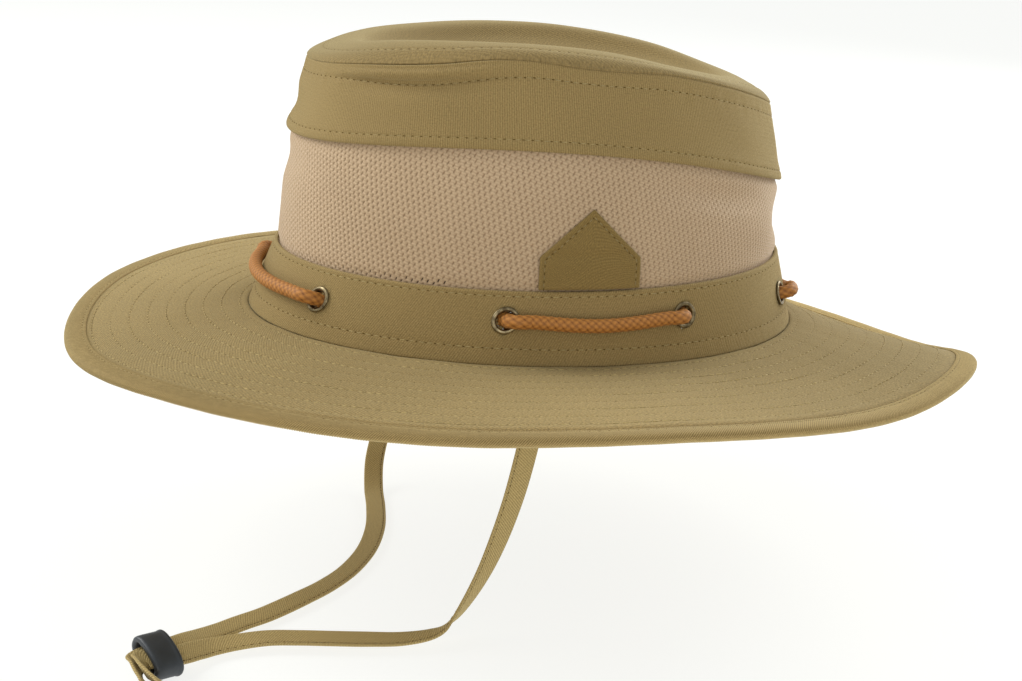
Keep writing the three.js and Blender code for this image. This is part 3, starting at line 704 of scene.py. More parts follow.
def knit(name, light, shade, drift):
    """Polyester warp knit, a springy open mesh of twisted yarn: softly shining, pinkish tan."""
    # The real knit has its openings about 1.5 mm apart. They are drawn a little coarser too.
    material, tree = new_material(name)
    cloth = add(tree, "ShaderNodeUVMap", {"uv_map": WEAVE_MAP})
    place = add(tree, "ShaderNodeTexCoord").outputs["Object"]
    relief = add(tree, "ShaderNodeAttribute", {"attribute_name": "relief"}).outputs["Fac"]
    yarn = add(tree, "ShaderNodeTexNoise", None, {
        "Vector": cloth, "Scale": 1.6, "Detail": 3, "Roughness": 0.65,
    })
    patch = add(tree, "ShaderNodeTexNoise", None, {"Vector": place, "Scale": 26, "Detail": 2})
    # Two rows of loops stand between one row of slits and the next.
    axes = add(tree, "ShaderNodeSeparateXYZ", None, {"Vector": cloth}).outputs
    drifted = add(tree, "ShaderNodeMath", MULTIPLY_ADD, {0: axes["X"], 1: drift, 2: axes["Y"]})
    course = add(tree, "ShaderNodeMath", {"operation": "MULTIPLY"}, {0: drifted, 1: 2 / KNIT_CELL})
    mixed = add(tree, "ShaderNodeMath", MULTIPLY_ADD, {0: patch, 1: 0.3, 2: yarn})
    looped = add(tree, "ShaderNodeMath", MULTIPLY_ADD, {0: wave_of(tree, course), 1: 0.3, 2: mixed})
    # Painted shade and light: the sunken floors of the openings are drawn darker and the raised
    # yarn lighter, by their depth.
    raised = add(tree, "ShaderNodeMath", MULTIPLY_ADD, {0: relief, 1: 0.7, 2: looped})
    tone = add(tree, "ShaderNodeMapRange", None, {
        "Value": raised, "From Min": 0.1, "From Max": 1.25,
    })
    thread = add(tree, "ShaderNodeMix", TWO_COLOURS, {
        "Factor": tone, "A": opaque(shade), "B": opaque(light),
    })
    # Painted shade: the stretched openings at the lower edge have closed floors, drawn darker still
    # to stand for the shaded inside of the hat.
    painted_shade_in_openings = add(tree, "ShaderNodeMapRange", None, {
        "Value": relief, "From Min": -0.85, "From Max": -0.4, "To Min": 0.18, "To Max": 1,
    })
    return surfaced(material, {
        "Base Color": add(tree, "ShaderNodeVectorMath", TINTED, {
            "Vector": thread, "Scale": painted_shade_in_openings,
        }),
        "Normal": add(tree, "ShaderNodeBump", None, {
            "Strength": 0.6, "Distance": BUMP_DEPTH, "Height": looped,
        }),
        "Roughness": 0.7, "Specular IOR Level": 0.35,
        "Sheen Weight": 0.5, "Sheen Tint": opaque(linear("#f2e2cf")),
    })


def sewing_thread(name, colour):
    """Spun polyester sewing thread: fine, slightly shining, with a twist too fine to draw."""
    material, tree = new_material(name)
    place = add(tree, "ShaderNodeTexCoord").outputs["Object"]
    spots = add(tree, "ShaderNodeTexNoise", None, {"Vector": place, "Scale": 900, "Detail": 1})
    level = add(tree, "ShaderNodeMapRange", None, {
        "Value": spots, "From Min": 0.3, "From Max": 0.7, "To Min": 0.8, "To Max": 1.15,
    })
    return surfaced(material, {
        "Base Color": add(tree, "ShaderNodeVectorMath", TINTED, {"Vector": colour, "Scale": level}),
        "Roughness": 0.75,
    })


def needle_hole_shade():
    """Painted shade for the hole that a needle leaves in the twill, one material for all the
    stitching.
    """
    name = "painted_needle_hole_shade"
    known = bpy.data.materials.get(name)
    if known:
        return known
    material, _ = new_material(name)
    # Flat dark brown: painted shade for the hollow of a needle hole.
    return surfaced(material, {
        "Base Color": opaque(linear("#5c4826")), "Roughness": 0.95, "Specular IOR Level": 0.05,
    })


def braid(name, light, shade):
    """Waxed cotton braid, dyed tan: each plait is a flat bundle of yarn with a dull shine."""
    material, tree = new_material(name)
    cloth = add(tree, "ShaderNodeUVMap", {"uv_map": WEAVE_MAP})
    relief = add(tree, "ShaderNodeAttribute", {"attribute_name": "relief"}).outputs["Fac"]
    yarn = add(tree, "ShaderNodeTexNoise", None, {
        "Vector": cloth, "Scale": 2.2, "Detail": 3, "Roughness": 0.7,
    })
    mixed = add(tree, "ShaderNodeMath", MULTIPLY_ADD, {0: yarn, 1: 0.5, 2: relief})
    # Painted shade in the hollows between the plaits and painted light on their crowns, by the
    # braid's relief.
    tone = add(tree, "ShaderNodeMapRange", None, {
        "Value": mixed, "From Min": 0.35, "From Max": 1.2,
    })
    return surfaced(material, {
        "Base Color": add(tree, "ShaderNodeMix", TWO_COLOURS, {
            "Factor": tone, "A": opaque(shade), "B": opaque(light),
        }),
        "Normal": add(tree, "ShaderNodeBump", None, {
            "Strength": 0.5, "Distance": 0.6 * BUMP_DEPTH, "Height": yarn,
        }),
        "Roughness": 0.6, "Specular IOR Level": 0.35,
        "Sheen Weight": 0.12, "Sheen Tint": opaque(linear("#f4c995")),
    })


def aged_brass(name, light, shade):
    """Pressed brass with an antique finish: brown and rubbed bright in random blotches."""
    material, tree = new_material(name)
    place = add(tree, "ShaderNodeTexCoord").outputs["Object"]
    blotch = add(tree, "ShaderNodeTexNoise", None, {
        "Vector": place, "Scale": 420, "Detail": 4, "Roughness": 0.6,
    })
    tone = add(tree, "ShaderNodeMapRange", None, {
        "Value": blotch, "From Min": 0.35, "From Max": 0.7,
    })
    return surfaced(material, {
        "Base Color": add(tree, "ShaderNodeMix", TWO_COLOURS, {
            "Factor": tone, "A": opaque(shade), "B": opaque(light),
        }),
        "Roughness": add(tree, "ShaderNodeMapRange", None, {
            "Value": blotch, "From Min": 0.3, "From Max": 0.7, "To Min": 0.5, "To Max": 0.34,
        }),
        "Metallic": 1.0,
    })


def moulded_plastic(name, colour):
    """Injection-moulded nylon: a satin skin with a very fine spark texture."""
    material, tree = new_material(name)
    place = add(tree, "ShaderNodeTexCoord").outputs["Object"]
    grain = add(tree, "ShaderNodeTexNoise", None, {"Vector": place, "Scale": 2400, "Detail": 2})
    cloud = add(tree, "ShaderNodeTexNoise", None, {"Vector": place, "Scale": 160, "Detail": 2})
    level = add(tree, "ShaderNodeMapRange", None, {
        "Value": cloud, "From Min": 0.3, "From Max": 0.7, "To Min": 0.85, "To Max": 1.2,
    })
    return surfaced(material, {
        "Base Color": add(tree, "ShaderNodeVectorMath", TINTED, {"Vector": colour, "Scale": level}),
        "Normal": add(tree, "ShaderNodeBump", None, {
            "Strength": 0.25, "Distance": BUMP_DEPTH / 4, "Height": grain,
        }),
        "Roughness": 0.42,
    })


# ---- settings ----
class ClothSettings(PropertyGroup):
    """Colours and sizes of the twill, the mesh and their stitches."""

    twill_light: FloatVectorProperty(
        name="Twill", description="Lit side of the twill's ribs", subtype="COLOR",
        default=linear("#a28b5c"), min=0, max=1,
    )
    twill_shade: FloatVectorProperty(
        name="Twill shade", description="Furrows between the twill's ribs", subtype="COLOR",
        default=linear("#816a3d"), min=0, max=1,
    )
    mesh_light: FloatVectorProperty(
        name="Mesh", description="Yarn of the mesh panel", subtype="COLOR",
        default=linear("#c8ad8b"), min=0, max=1,
    )
    mesh_shade: FloatVectorProperty(
        name="Mesh shade", description="Shaded yarn of the mesh panel", subtype="COLOR",
        default=linear("#8d7253"), min=0, max=1,
    )
    thread: FloatVectorProperty(
        name="Thread", description="Sewing thread on the twill", subtype="COLOR",
        default=linear("#b29d69"), min=0, max=1,
    )
    rib_pitch: FloatProperty(
        name="Rib pitch", description="Spacing of the twill's ribs in millimetres",
        default=1.0, min=0.4, max=3,
    )
    knit_columns: IntProperty(
        name="Knit columns", description="Openings of the mesh round the crown", default=285,
        min=60,
    )
    knit_rows: IntProperty(
        name="Knit rows", description="Openings of the mesh up the crown", default=28, min=6,
    )
    stitch_length: FloatProperty(
        name="Stitch", description="Length of a stitch in millimetres", default=2.5, min=1, max=6,
    )
    stitch_gap: FloatProperty(
        name="Stitch gap", description="Cloth between two stitches in millimetres", default=0.7,
        min=0.1, max=3,
    )
    brim_rows: IntProperty(
        name="Brim rows", description="Rows of stitching round the brim", default=9, min=1, max=14,
    )


class TrimSettings(PropertyGroup):
    """Colours of the cord, the eyelets, the strap and the slider."""

    cord_light: FloatVectorProperty(
        name="Cord", description="Crowns of the cord's plaits", subtype="COLOR",
        default=linear("#c0813b"), min=0, max=1,
    )
    cord_shade: FloatVectorProperty(
        name="Cord shade", description="Hollows between the cord's plaits", subtype="COLOR",
        default=linear("#633613"), min=0, max=1,
    )
    brass_light: FloatVectorProperty(
        name="Brass", description="Rubbed edges of the eyelets", subtype="COLOR",
        default=linear("#a99a78"), min=0, max=1,
    )
    brass_shade: FloatVectorProperty(
        name="Brass shade", description="Aged hollows of the eyelets", subtype="COLOR",
        default=linear("#5c503a"), min=0, max=1,
    )
    # Partly the tape's own colour, partly painted light: it is drawn lighter for the light thrown
    # up from below.
    strap_light: FloatVectorProperty(
        name="Strap", description="Lit ribs of the strap's tape", subtype="COLOR",
        default=linear("#c6b079"), min=0, max=1,
    )
    strap_shade: FloatVectorProperty(
        name="Strap shade", description="Furrows of the strap's tape", subtype="COLOR",
        default=linear("#937c4b"), min=0, max=1,
    )
    slider: FloatVectorProperty(
        name="Slider", description="Moulded slider", subtype="COLOR",
        default=linear("#31363b"), min=0, max=1,
    )


class StageSettings(PropertyGroup):
    """The floor, the light and the camera."""

    floor: FloatVectorProperty(
        name="Floor", description="Colour of the table top", subtype="COLOR",
        default=linear("#f7f8f6"), min=0, max=1,
    )
    floor_glow: FloatProperty(
        name="Table glow", description="Light that the lit table top gives", default=0.86, min=0,
    )
    surround: FloatProperty(
        name="Surround", description="Brightness of the white surround", default=0.5, min=0,
    )
    focal: FloatProperty(
        name="Focal length", description="Focal length in millimetres", unit="CAMERA",
        default=58.38, min=10,
    )


def settings():
    """The hat's settings: cloth, trim and stage."""
    scene = bpy.context.scene
    return scene.hat_cloth, scene.hat_trim, scene.hat_stage


# ---- brim ----
BRIM_COLUMNS = 480
BRIM_ROW_START = 3.6
BRIM_ROW_STEP = 6.65
# Each round of stitching lies in a groove: its depth, half its width, and the section's points
# beside its middle.
BRIM_GROOVE = 0.12
BRIM_GROOVE_HALF = 1.3
BRIM_ROW_POINTS = (-3.3, -1.8, -0.9, 0, 0.9, 1.8)
# Over this distance the brim dips into the crown's seam, by the same depth.
SEAM_DIP = 0.8
# Inside the binding the brim is a thinner tongue: half its thickness, and its place in the edge.
TONGUE = 0.4
TONGUE_INSET = 1.4
SHOULDER_INSET = BINDING_WIDTH + CLEARANCE
# How far round each round of stitching starts from the last, so that stitches never line up.
BRIM_ROW_TURN = 137.5


def brim_rows(count):
    """How far the rounds of stitching lie from the crown's seam."""
    return BRIM_ROW_START + BRIM_ROW_STEP * np.arange(count)


def brim_relief(bearing, distance, count):
    """How far the quilted brim's face lies above its plain face."""
    nearest = (distance - BRIM_ROW_START + BRIM_ROW_STEP / 2) % BRIM_ROW_STEP - BRIM_ROW_STEP / 2
    sewn = (distance > 1) & (distance < BRIM_ROW_START + BRIM_ROW_STEP * (count - 0.5))
    groove = -BRIM_GROOVE * hump(nearest / BRIM_GROOVE_HALF) * sewn
    angle = np.radians(bearing)
    number = np.rint((distance - BRIM_ROW_START) / BRIM_ROW_STEP)
    pucker = 0.07 * np.sin(97 * angle + 2.1 * number) * np.sin(31 * angle + number)
    ripple = 0.1 * np.sin(23 * angle + distance / 9) * np.sin(distance / 14 + 5 * angle)
    return groove + pucker * sewn + ripple


class HAT_OT_brim(Operator):
    """Quilted brim of two layers of twill, with the seam allowance that stands up in the band"""

    bl_idname = "hat.brim"
    bl_label = "Brim"

    def execute(self, context):
        cloth, _, _ = settings()
        count = cloth.brim_rows
        face = BRIM_WALL / 2
        flange_level = SEAM_ALLOWANCE / RINGS[1][0]
        beside = np.array(BRIM_ROW_POINTS)
        rows = [point for middle in brim_rows(count) for point in middle + beside if point > 1.2]
        top = np.array([0, 0.35, SEAM_DIP] + rows)
        section = [
            ("wall", flange_level, FLANGE_OUTER), ("brim", FLANGE_OUTER, face),
            *(("top", distance, face) for distance in top),
            ("edge", SHOULDER_INSET, face), ("edge", SHOULDER_INSET - 0.15, TONGUE),
            ("edge", TONGUE_INSET, TONGUE), ("edge", TONGUE_INSET, -TONGUE),
            ("edge", SHOULDER_INSET - 0.15, -TONGUE), ("edge", SHOULDER_INSET, -face),
            *(("under", distance, -face) for distance in top[::-1]),
            ("brim", FLANGE_INNER, -face), ("wall", flange_level, FLANGE_INNER),
            ("wall", flange_level, FLANGE_OUTER),
        ]

        def ring_of(bearing, kind, first, second, number):
            if kind == "wall":
                return wall(bearing, first, second)
            if kind == "brim":
                return brim(bearing, first, second)
            reach = brim_reach(bearing)
            if kind == "edge":
                return brim(bearing, reach - first, second)
            # Where the brim is narrow its last rows close up against the shoulder.
            last = reach - SHOULDER_INSET - 0.2
            distance = np.minimum(first, last - 0.02 * (len(top) - number % len(top)))
            relief = brim_relief(bearing, distance, count)
            if kind == "under":
                return brim(bearing, distance, second - relief)
            return brim(bearing, distance, second + relief - max(0, SEAM_DIP - first))

        numbered = [(*entry, number) for number, entry in enumerate(section)]
        mesh = ringed("brim_cloth", BRIM_COLUMNS, numbered, ring_of)
        # Painted light: the brim's twill is drawn lighter than the crown's, for the light on its
        # upper face.
        finish = twill(
            "cotton_twill_brim", scaled(cloth.twill_light, 1.04), scaled(cloth.twill_shade, 1.04),
            slant=52, pitch=cloth.rib_pitch * 0.9, contrast=0.35, ribs=0.9, flecks=1.3,
        )
        piece("brim_cloth", mesh, finish, ["brim"])
        lines = []
        for side in (1, -1):
            for row, middle in enumerate(brim_rows(count)):
                bearing = np.mod(np.linspace(0, 360, 721) + BRIM_ROW_TURN * row, 360)
                distance = np.minimum(middle, brim_reach(bearing) - SHOULDER_INSET - 0.6)
                above = face + brim_relief(bearing, distance, count) + 0.02
                lines.append({
                    **brim_line(bearing, distance, above, side), "length": cloth.stitch_length,
                    "gap": cloth.stitch_gap, "thickness": 0.5, "sink": 0.05, "uneven": 0.08,
                    "pit": 0.38,
                })
        thread = sewing_thread("polyester_thread_brim", scaled(cloth.thread, 1.03))
        stitched("brim_stitching", lines, thread)
        return {"FINISHED"}


# ---- binding ----
BINDING_STITCH_INSET = 6.2
BINDING_RIB_DEPTH = 0.14
# The section's rows whose ribs show, and how far the ribs lean along the edge.
BINDING_RIBBED = range(2, 23)
BINDING_LEAN = -0.9


class HAT_OT_binding(Operator):
    """Bias tape folded round the edge of the brim"""

    bl_idname = "hat.binding"
    bl_label = "Brim binding"

    def execute(self, context):
        cloth, _, _ = settings()
        inside = TONGUE + CLEARANCE - 0.05
        outside = inside + 1
        inset, above = np.array([
            (7.5, inside + 0.2), (7.74, outside - 0.7), (7.64, outside - 0.45),
            (7.2, outside - 0.3), (6.6, outside - 0.26), (BINDING_STITCH_INSET, outside - 0.36),
            (5.8, outside - 0.2), (4.6, outside + 0.02), (3, outside + 0.05), (1.7, outside),
            (0.8, outside - 0.25), (0.25, outside - 0.75), (0, 0.35),
            (0, -0.35), (0.25, 0.75 - outside), (0.8, 0.25 - outside), (1.7, -outside),
            (4.6, -outside), (5.8, 0.2 - outside), (BINDING_STITCH_INSET, 0.36 - outside),
            (6.6, 0.26 - outside), (7.2, 0.3 - outside), (7.64, 0.45 - outside),
            (7.74, 0.7 - outside), (7.5, -inside - 0.2), (7.3, -inside), (1, -inside),
            (1, inside), (7.3, inside), (7.5, inside + 0.2),
        ]).T
        bearing = np.linspace(0, 360, 361)
        perimeter = running_length(brim(bearing, brim_reach(bearing), 0))[-1]
        pitch = cloth.rib_pitch * 0.84
        columns = 2 * round(perimeter / pitch)
        steps = np.hypot(np.diff(inset, prepend=inset[0]), np.diff(above, prepend=above[0]))
        lean = BINDING_LEAN * np.cumsum(steps) * 360 / perimeter

        def place(column, row):
            bearing = 360 * column / columns + lean[row]
            angle = np.radians(bearing)
            rib = ribbed(column, row, BINDING_RIBBED, BINDING_RIB_DEPTH)
            wave = 0.06 * np.sin(41 * angle) * np.sin(17 * angle)
            rolled = np.abs(above[row]) < 0.8
            reach = brim_reach(bearing) - inset[row] + rib * rolled
            return brim(bearing, reach, above[row] + rib * np.clip(above[row], -1, 1) + wave)

        mesh = welded(bent_grid("binding_tape", columns, len(inset) - 1, place, pitch=pitch))
        # Painted light and shade: the tape's ribs are drawn much lighter and its furrows darker
        # than the other twill, for the light on the rolled edge.
        finish = twill(
            "cotton_bias_tape", scaled(cloth.twill_light, 1.35), scaled(cloth.twill_shade, 0.9),
            slant=0, pitch=pitch, contrast=0.9, ribs=0.5, flecks=0.7,
        )
        piece("binding_tape", mesh, finish, ["brim_binding"])
        bearing = np.linspace(0, 360, 901)
        distance = brim_reach(bearing) - BINDING_STITCH_INSET
        stitched("binding_stitching", [
            {
                **brim_line(bearing, distance, outside - 0.3, side), "length": 2.4, "gap": 0.6,
                "thickness": 0.42, "sink": 0.04,
            }
            for side in (1, -1)
        ], sewing_thread("polyester_thread_binding", cloth.thread))
        return {"FINISHED"}


# ---- crown wall ----
def band_mesh(name, section, length, pitch, ribs, depth, shear, bulge, shift=None):
    """A closed band of ribbed cloth round the crown. A section row is a level and a distance out;
    the ribs stand on the given rows and lean along the band by the shear, in millimetres; the
    shift moves the rows up or down to follow a seam."""
    columns = 2 * round(length / pitch)
    levels, outs = np.array(section, float).T

    def place(column, row):
        level = levels[row]
        bearing = even_bearing(column / columns + shear * (level - levels.min()) / length)
        if shift:
            level = level + shift(bearing, level)
        relief = ribbed(column, row, ribs, depth) + bulge(bearing, level) * np.isin(row, ribs)
        return wall(bearing, level, outs[row] + relief)

    return welded(bent_grid(name, columns, len(section) - 1, place, pitch=pitch))


BAND_LOWER_STITCH = 0.21
BAND_UPPER_STITCH = 0.93
# Where the band lies flat against the wall, the levels of its rows.
BAND_FLAT = (
    0.12, 0.17, 0.19, 0.21, 0.23, 0.25, 0.32, 0.42, 0.52, 0.62, 0.72, 0.82, 0.88, 0.91, 0.93, 0.95,
)
BAND_HOLE_RADIUS = 3.4


def band_bulge(bearing, level):
    """Relief of the hat band: its two sewn grooves, and the puckers near the lower one."""
    angle = np.radians(bearing)
    sewn = -0.2 * hump((level - BAND_LOWER_STITCH) / 0.06)
    pucker = 0.05 * np.sin(83 * angle) * np.sin(29 * angle)
    hem = 0.15 * hump((level - BAND_UPPER_STITCH) / 0.035)
    return sewn + pucker * hump((level - 0.1) / 0.3) - hem


class HAT_OT_hat_band(Operator):
    """Twill band between brim and mesh, with a hole under each eyelet"""

    bl_idname = "hat.band"
    bl_label = "Hat band"

    def execute(self, context):
        cloth, _, _ = settings()
        section = [
            (-0.02, -0.5), (-0.03, -0.1), (0, 0.08), (0.05, 0.05),
            *((level, 0) for level in BAND_FLAT),
            (0.975, 0.05), (0.99, -0.1), (1, -0.4), (0.999, -0.9), (0.99, -1.3),
            *((level, -TWILL_WALL) for level in (0.95, 0.8, 0.6, 0.4, 0.2, 0.02)),
            (-0.01, -1.2), (-0.02, -0.5),
        ]
        pitch = cloth.rib_pitch * 0.9
        mesh = band_mesh(
            "band_cloth", section, length=575, pitch=pitch, ribs=range(2, 20), depth=0.035,
            shear=12, bulge=band_bulge,
        )
        for bearing, level in EYELETS:
            bore_hole(mesh, bearing, level, BAND_HOLE_RADIUS)
        finish = twill(
            "cotton_twill_band", cloth.twill_light, cloth.twill_shade,
            slant=0, pitch=pitch, contrast=0.5, ribs=0.8, flecks=0.8,
        )
        piece("band_cloth", mesh, finish, ["hat_band"])
        size = {"length": cloth.stitch_length, "gap": cloth.stitch_gap, "thickness": 0.42}
        stitched("band_stitching", [
            {**wall_line(level, band_bulge, 0.06), **size}
            for level in (BAND_LOWER_STITCH, BAND_UPPER_STITCH)
        ], sewing_thread("polyester_thread_band", scaled(cloth.thread, 0.9)))
        return {"FINISHED"}


def bore_hole(mesh, bearing, level, radius):
    """Opens the band where an eyelet goes through it."""
    middle = Vector(wall(bearing, level) * MM)
    axis = Vector(wall_frame(bearing, level)[0])
    shape = opened(mesh)
    gone = []
    for face in shape.faces:
        apart = face.calc_center_median() - middle
        aside = apart - axis * apart.dot(axis)
        if apart.length < (radius + 3) * MM and aside.length < radius * MM:
            gone.append(face)
    bmesh.ops.delete(shape, geom=gone, context="FACES")
    rims = [edge for edge in shape.edges if edge.is_boundary]
    if rims:
        bmesh.ops.bridge_loops(shape, edges=rims)
    as_mesh(shape, mesh)


# ---- crown band ----
HEM_STITCH = 2.105
TIP_STITCH = 2.82
CREASE_BEARING = 44
CREASE_TURN = 34
# Where the crown band lies flat against the wall, the levels of its rows.
CROWN_FLAT = (
    2.26, 2.33, 2.4, 2.47, 2.54, 2.6, 2.65, 2.69, 2.72, 2.745, 2.765, 2.785, 2.8, 2.815, 2.83,
    2.85, 2.87, 2.9,
)


def crease(bearing):
    """How near the deep crease at the front left is, where the tip's seam is drawn in."""
    return hump(turned(bearing - CREASE_BEARING) / CREASE_TURN)


def tip_stitch_level(bearing):
    """The level of the groove under the tip's seam, drawn down a little at the front left."""
    return TIP_STITCH - 0.05 * hump(turned(bearing - 47) / 30)


def tip_thread_level(bearing):
    """The stitches lie on the lower lip of the groove they pull in."""
    return tip_stitch_level(bearing) - 0.036 * crease(bearing)


def crown_shift(bearing, level):
    """How far the crown band's rows move up or down to follow the tip's stitches."""
    return (tip_thread_level(bearing) - TIP_STITCH) * hump((level - TIP_STITCH) / 0.18)


def crown_bulge(bearing, level):
    """Relief of the crown band: its sewn grooves, and the strip that puffs up between the tip's
    seam and the stitching below it, drawn in tightly at the front left."""
    angle = np.radians(bearing)
    near = crease(bearing)
    stitch = level - tip_stitch_level(bearing)
    sewn = -0.2 * hump(stitch / 0.024) - 1.9 * near * hump(stitch / 0.055)
    puffed = 1.3 * near * hump((level - 2.905) / 0.08)
    drawn = -1.5 * near * smoothstep(level, 2.94, 3)
    hem = -0.28 * hump((level - HEM_STITCH) / 0.022)
    pucker = 0.1 * np.sin(71 * angle) * np.sin(19 * angle) * hump((level - TIP_STITCH) / 0.2)
    tucks = 0.1 * np.sin(57 * angle + 2) * np.sin(11 * angle) * hump((level - 2.1) / 0.09)
    ripple = 0.14 * np.sin(13 * angle + 4 * level) * hump((level - 2.5) / 0.4)
    return sewn + puffed + drawn + hem + pucker + tucks + ripple


class HAT_OT_crown_band(Operator):
    """Twill band under the tip, with its folded and stitched hem"""

    bl_idname = "hat.crown_band"
    bl_label = "Crown band"

    def execute(self, context):
        cloth, _, _ = settings()
        section = [
            (2, -1.2), (1.985, -0.6), (1.984, -0.05), (1.995, 0.35), (2.015, 0.52), (2.045, 0.56),
            (2.07, 0.54), (2.09, 0.48), (HEM_STITCH, 0.42), (2.12, 0.4), (2.15, 0.3), (2.2, 0.12),
            *((level, 0) for level in CROWN_FLAT),
            (2.925, 0.02), (2.95, 0.04), (2.97, 0.02), (2.985, -0.08), (2.996, -0.3), (2.999, -0.9),
            *((level, -TWILL_WALL) for level in (2.99, 2.86, 2.6, 2.3, 2.1, 2.01)),
            (2, -1.2),
        ]
        pitch = cloth.rib_pitch * 0.76
        mesh = band_mesh(
            "crown_band_cloth", section, length=520, pitch=pitch, ribs=range(3, 33), depth=0.03,
            shear=-3, bulge=crown_bulge, shift=crown_shift,
        )
        finish = twill(
            "cotton_twill_crown", cloth.twill_light, cloth.twill_shade,
            slant=0, pitch=pitch, contrast=0.6, ribs=0.8, flecks=0.7,
        )
        piece("crown_band_cloth", mesh, finish, ["crown_band"])
        size = {
            "length": cloth.stitch_length - 0.2, "gap": cloth.stitch_gap + 0.1, "thickness": 0.4,
        }
        stitched("crown_band_stitching", [
            {**wall_line(HEM_STITCH, crown_bulge, 0.46), **size},
            {**wall_line(tip_thread_level, crown_bulge, 0.06), **size},
        ], sewing_thread("polyester_thread_crown", scaled(cloth.thread, 0.82)))
        return {"FINISHED"}


# ---- mesh panel ----
# The panel's level and how far out it lies, from behind the hat band to behind the crown band.
KNIT_SECTION = (
    (0.84, -TUCK), (1.0, -TUCK), (1.06, -0.9), (1.4, -0.5), (1.66, -0.5), (1.88, -0.9),
    (1.98, -TUCK), (2.16, -TUCK),
)
KNIT_LOW = 0.9
KNIT_HIGH = 2.09
# One cell of the knit on its weave map in millimetres, how many cells its rows fall in one turn
# of the crown, and how far its columns lean for each cell up.
KNIT_CELL = 1.8
KNIT_DRIFT = 89
KNIT_LEAN = 0.19
KNIT_FACE = 0.2
# One opening of the knit, from its edge inwards: half width and half height as a share of the
# cell, lean to the right going up, and how far it lies out from the cloth in millimetres.
KNIT_OPENING = ((0.16, 0.4, 0.54, KNIT_FACE), (0.05, 0.38, 0.6, -0.3))
KNIT_CORNERS = ((-1, -1), (1, -1), (1, 1), (-1, 1))
KNIT_UNEVEN = 0.045
# The openings that the seam has stretched: the bearing of their middle, half their turn, the rows
# that they take up, and how deep they lie.
KNIT_STRETCHED = (35, 22)
KNIT_STRETCHED_ROWS = 1
KNIT_STRETCHED_DEPTH = -0.9


def knit_grid(columns, rows, drift):
    """The flat knit before it is opened, a cell to a unit, each column a little lower than the
    last."""
    tall = rows + KNIT_DRIFT
    shape = bmesh.new()
    bmesh.ops.create_grid(shape, x_segments=columns, y_segments=tall, size=0.5)
    stretch = Matrix.Diagonal((columns, tall, 1, 1)) @ Matrix.Translation((0.5, 0.5, 0))
    bmesh.ops.transform(shape, matrix=stretch, verts=shape.verts)
    for vertex in shape.verts:
        vertex.co.y -= drift * vertex.co.x
        vertex.co.z = KNIT_FACE
    beyond = [face for face in shape.faces if not 0 < face.calc_center_median().y < rows]
    bmesh.ops.delete(shape, geom=beyond, context="FACES")
    return shape


def open_cells(shape, cells, middles, drift):
    """Turns each cell of the flat knit into its slanted opening."""
    # No two stitches are pulled quite alike.
    pulled = np.random.default_rng(11).uniform(-KNIT_UNEVEN, KNIT_UNEVEN, (len(cells), 2))
    for wide, high, lean, lift in KNIT_OPENING:
        bmesh.ops.inset_individual(shape, faces=cells, thickness=0.01, depth=0)
        for face, cell_middle, (across, along) in zip(cells, middles, pulled):
            middle = cell_middle + Vector((across, along, 0))
            loops = sorted(face.verts, key=lambda vertex: math.atan2(
                vertex.co.y - cell_middle.y + drift * (vertex.co.x - cell_middle.x),
                vertex.co.x - cell_middle.x,
            ))
            for vertex, (right, up) in zip(loops, KNIT_CORNERS):
                aside = right * wide + lean * up * high
                vertex.co = middle + Vector((aside, up * high - drift * aside, 0))
                vertex.co.z = lift


class HAT_OT_mesh_panel(Operator):
    """Knitted mesh: slanted openings in columns, each column a little lower than the last"""

    bl_idname = "hat.mesh_panel"
    bl_label = "Mesh panel"

    def execute(self, context):
        cloth, _, _ = settings()
        columns, rows = cloth.knit_columns, cloth.knit_rows
        drift = KNIT_DRIFT / columns
        cell_level = (KNIT_HIGH - KNIT_LOW) / rows
        shape = knit_grid(columns, rows, drift)
        cells = list(shape.faces)
        middles = [face.calc_center_median() for face in cells]
        open_cells(shape, cells, middles, drift)
        first = (1 - KNIT_LOW) / cell_level
        centre, spread = KNIT_STRETCHED
        for face, middle in zip(cells, middles):
            in_rows = 0 < middle.y - first < KNIT_STRETCHED_ROWS
            if in_rows and abs(even_bearing(middle.x / columns) - centre) < spread:
                for vertex in face.verts:
                    vertex.co.z = KNIT_STRETCHED_DEPTH
        mesh = as_mesh(shape, "mesh_knit")
        flat = vertex_places(mesh).astype(float)
        level = KNIT_LOW + cell_level * flat[:, 1]
        bearing = even_bearing((flat[:, 0] - KNIT_LEAN * flat[:, 1]) / columns)
        swell = 0.16 * np.sin(9 * np.radians(bearing) + 5 * level) * hump((level - 1.5) / 0.5)
        out = np.interp(level, *zip(*KNIT_SECTION)) - 0.25 + flat[:, 2] + swell
        draped(mesh, wall(bearing, level, out), flat[:, :2] * KNIT_CELL, relief=flat[:, 2])
        welded(mesh, outward=False)
        finish = knit("polyester_mesh_knit", cloth.mesh_light, cloth.mesh_shade, drift)
        piece("mesh_knit", mesh, finish, ["mesh_panel"])
        return {"FINISHED"}


# ---- crown tip ----
TIP_COLUMNS = 300
TIP_STITCH_SHARE = 0.935
# From the seam to the middle: the share of the way out, how far the cloth has risen from the rim
# to the crest, and how deep the dent is.
TIP_SHARES = (1, 0.965, 0.9, 0.84, 0.78, 0.71, 0.6, 0.4, 0)
TIP_RISEN = (0, 0.45, 0.8, 0.95, 1, 1, 1, 1, 1)
TIP_DENTS = (0, 0, 0, 0.1, 1.3, 5.2, 9.0, 10.6, TIP_DENT)


